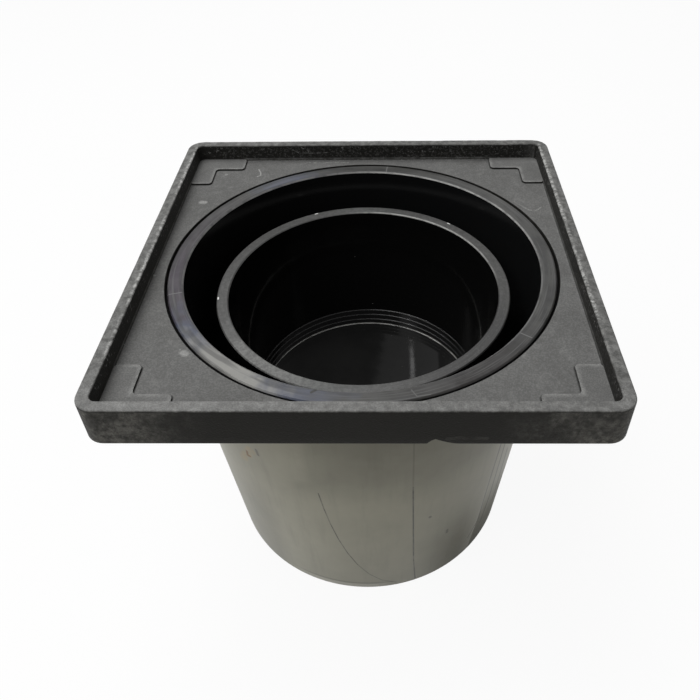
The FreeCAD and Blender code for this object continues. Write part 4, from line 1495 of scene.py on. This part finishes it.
def opening_section():
    """The opening's edge as (radius, height), from the plate's underside up to the recess floor."""
    out = OPENING_RADIUS + OPENING_ROUND
    section = [(out + 2 * OPENING_ROUND, PLATE_UNDERSIDE)]
    section += corner_arc(out, PLATE_UNDERSIDE + OPENING_ROUND, OPENING_ROUND, 270, 180)
    section += corner_arc(out, RECESS_FLOOR - OPENING_ROUND, OPENING_ROUND, 180, 90)
    section.append((out + 2 * OPENING_ROUND, RECESS_FLOOR))
    return section


print("points in a loop:", len(ANGLES))

# %% Frame shell with its nick
NICK_START, NICK_PEAK, NICK_END = 26.5 * MM, 29.0 * MM, 37.5 * MM
NICK_HEIGHT = 2.6 * MM
NICK_FADE = 1.6
NICK_FOOT = 1.0 * MM
NICK_DEPTH = 0.6 * MM
DING_DEPTH = 0.3 * MM
DING_SIZE = 9.0 * MM
DING_LEVEL = 0.25
NIBBLE_SIZE = 2 * MM
NIBBLE_SHARE = 0.4
PLATE_SHARES = (0.12, 0.4, 0.7, 0.92)


def nick_lift(across):
    """How far the broken edge is lifted: steep on its left side, running out slowly on its right."""
    if not NICK_START < across < NICK_END:
        return 0.0
    if across < NICK_PEAK:
        share = (across - NICK_START) / (NICK_PEAK - NICK_START)
        return NICK_HEIGHT * math.sin(share * math.pi / 2)
    share = (across - NICK_PEAK) / (NICK_END - NICK_PEAK)
    return NICK_HEIGHT * (1 - share) ** NICK_FADE


def knocked(point, height, is_edge):
    """A rim point pushed in by small dings, and a foot point lifted by the nick."""
    spot = Vector((point.x, point.y, height))
    if height < FRAME_BOTTOM + NICK_FOOT and point.y < NICK_DEPTH - RECESS_HALF:
        spot.z += nick_lift(point.x)
    if is_edge:
        ding = max(0.0, noise.noise(spot / DING_SIZE) - DING_LEVEL)
        nibble = max(0.0, noise.noise(spot / NIBBLE_SIZE))
        spot.z -= DING_DEPTH * (ding + NIBBLE_SHARE * nibble)
    return spot


def make_frame():
    """The frame's shell, joined loop by loop into a closed ring."""
    loops = [(circle_loop(radius), height, False) for radius, height in opening_section()]
    opening_edge = opening_section()[-1][0]
    walls = wall_section()
    for share in PLATE_SHARES:
        loops.append((mixed_loop(opening_edge, walls[0][0], share), RECESS_FLOOR, False))
    loops += [(square_loop(offset), height, is_edge) for offset, height, is_edge in walls]
    for share in reversed(PLATE_SHARES):
        loops.append((mixed_loop(opening_edge, walls[-1][0], share), PLATE_UNDERSIDE, False))

    work = bmesh.new()
    rings = []
    for points, height, is_edge in loops:
        rings.append([work.verts.new(knocked(point, height, is_edge)) for point in points])
    for inner, outer in zip(rings, rings[1:] + rings[:1]):
        for here in range(len(inner)):
            after = (here + 1) % len(inner)
            work.faces.new((inner[here], outer[here], outer[after], inner[after])).smooth = True
    mesh = bpy.data.meshes.new("frame_shell")
    work.to_mesh(mesh)
    work.free()
    open_edges = clean(mesh)
    mesh.materials.append(FRAME_FINISH)
    piece = bpy.data.objects.new("frame_shell", mesh)
    bpy.context.scene.collection.objects.link(piece)
    print("frame_shell", len(mesh.polygons), "faces,", open_edges, "open edges")
    return piece


dress(make_frame(), "frame_plastic", "frame")

# %% [markdown]
# ## Corner pads and webs
#
# A grate would lie on four L-shaped pads, one in each corner of the recess, and a web under each corner
# stiffens the plate. Each is drawn once and repeated by the tree above.

# %% Pads and webs
CORNER_COUNT = 4
SUNK = 0.3 * MM
WEB_THICKNESS = 3.0 * MM
WEB_CLEARANCE = 2.0 * MM


def make_pads():
    """The raised pads, sunk a little into the recess floor and its walls."""
    wall = RECESS_HALF + SUNK
    arm_end = RECESS_HALF - PAD_ARM
    arm_side = RECESS_HALF - PAD_WIDTH
    corners = [(wall, wall), (arm_end, wall), (arm_end, arm_side)]
    corners += [(arm_side, arm_side), (arm_side, arm_end), (wall, arm_end)]
    outline = outline_mesh("corner_pads", [(*corner, 0.0) for corner in corners], True)
    values = {"Count": CORNER_COUNT, "Thickness": PAD_HEIGHT + SUNK, "Corner Round": PAD_ROUND}
    values["Material"] = FRAME_FINISH
    values["Shift"] = (0.0, 0.0, RECESS_FLOOR - SUNK)
    return grown("corner_pads", outline, REPEATED, values, bevel=0.25 * MM)


def make_webs():
    """The webs under the plate, from near the flange out to the corners."""
    start = FLANGE_RADIUS + WEB_CLEARANCE
    end = RECESS_HALF * math.sqrt(2)
    side = 0.5 * WEB_THICKNESS
    corners = [(start, -side), (end, -side), (end, side), (start, side)]
    outline = outline_mesh("corner_webs", [(*corner, 0.0) for corner in corners], True)
    depth = PLATE_UNDERSIDE - FRAME_BOTTOM
    values = {"Count": CORNER_COUNT, "Thickness": depth + SUNK, "Corner Round": 0.3 * MM}
    values["Material"] = FRAME_FINISH
    values["Shift"] = (0.0, 0.0, FRAME_BOTTOM)
    values["First Turn"] = math.pi / 4
    return grown("corner_webs", outline, REPEATED, values, bevel=0.3 * MM)


dress(make_pads(), "frame_plastic")
dress(make_webs(), "frame_plastic")

# %% Colour view
bpy.context.scene.view_settings.view_transform = "Standard"
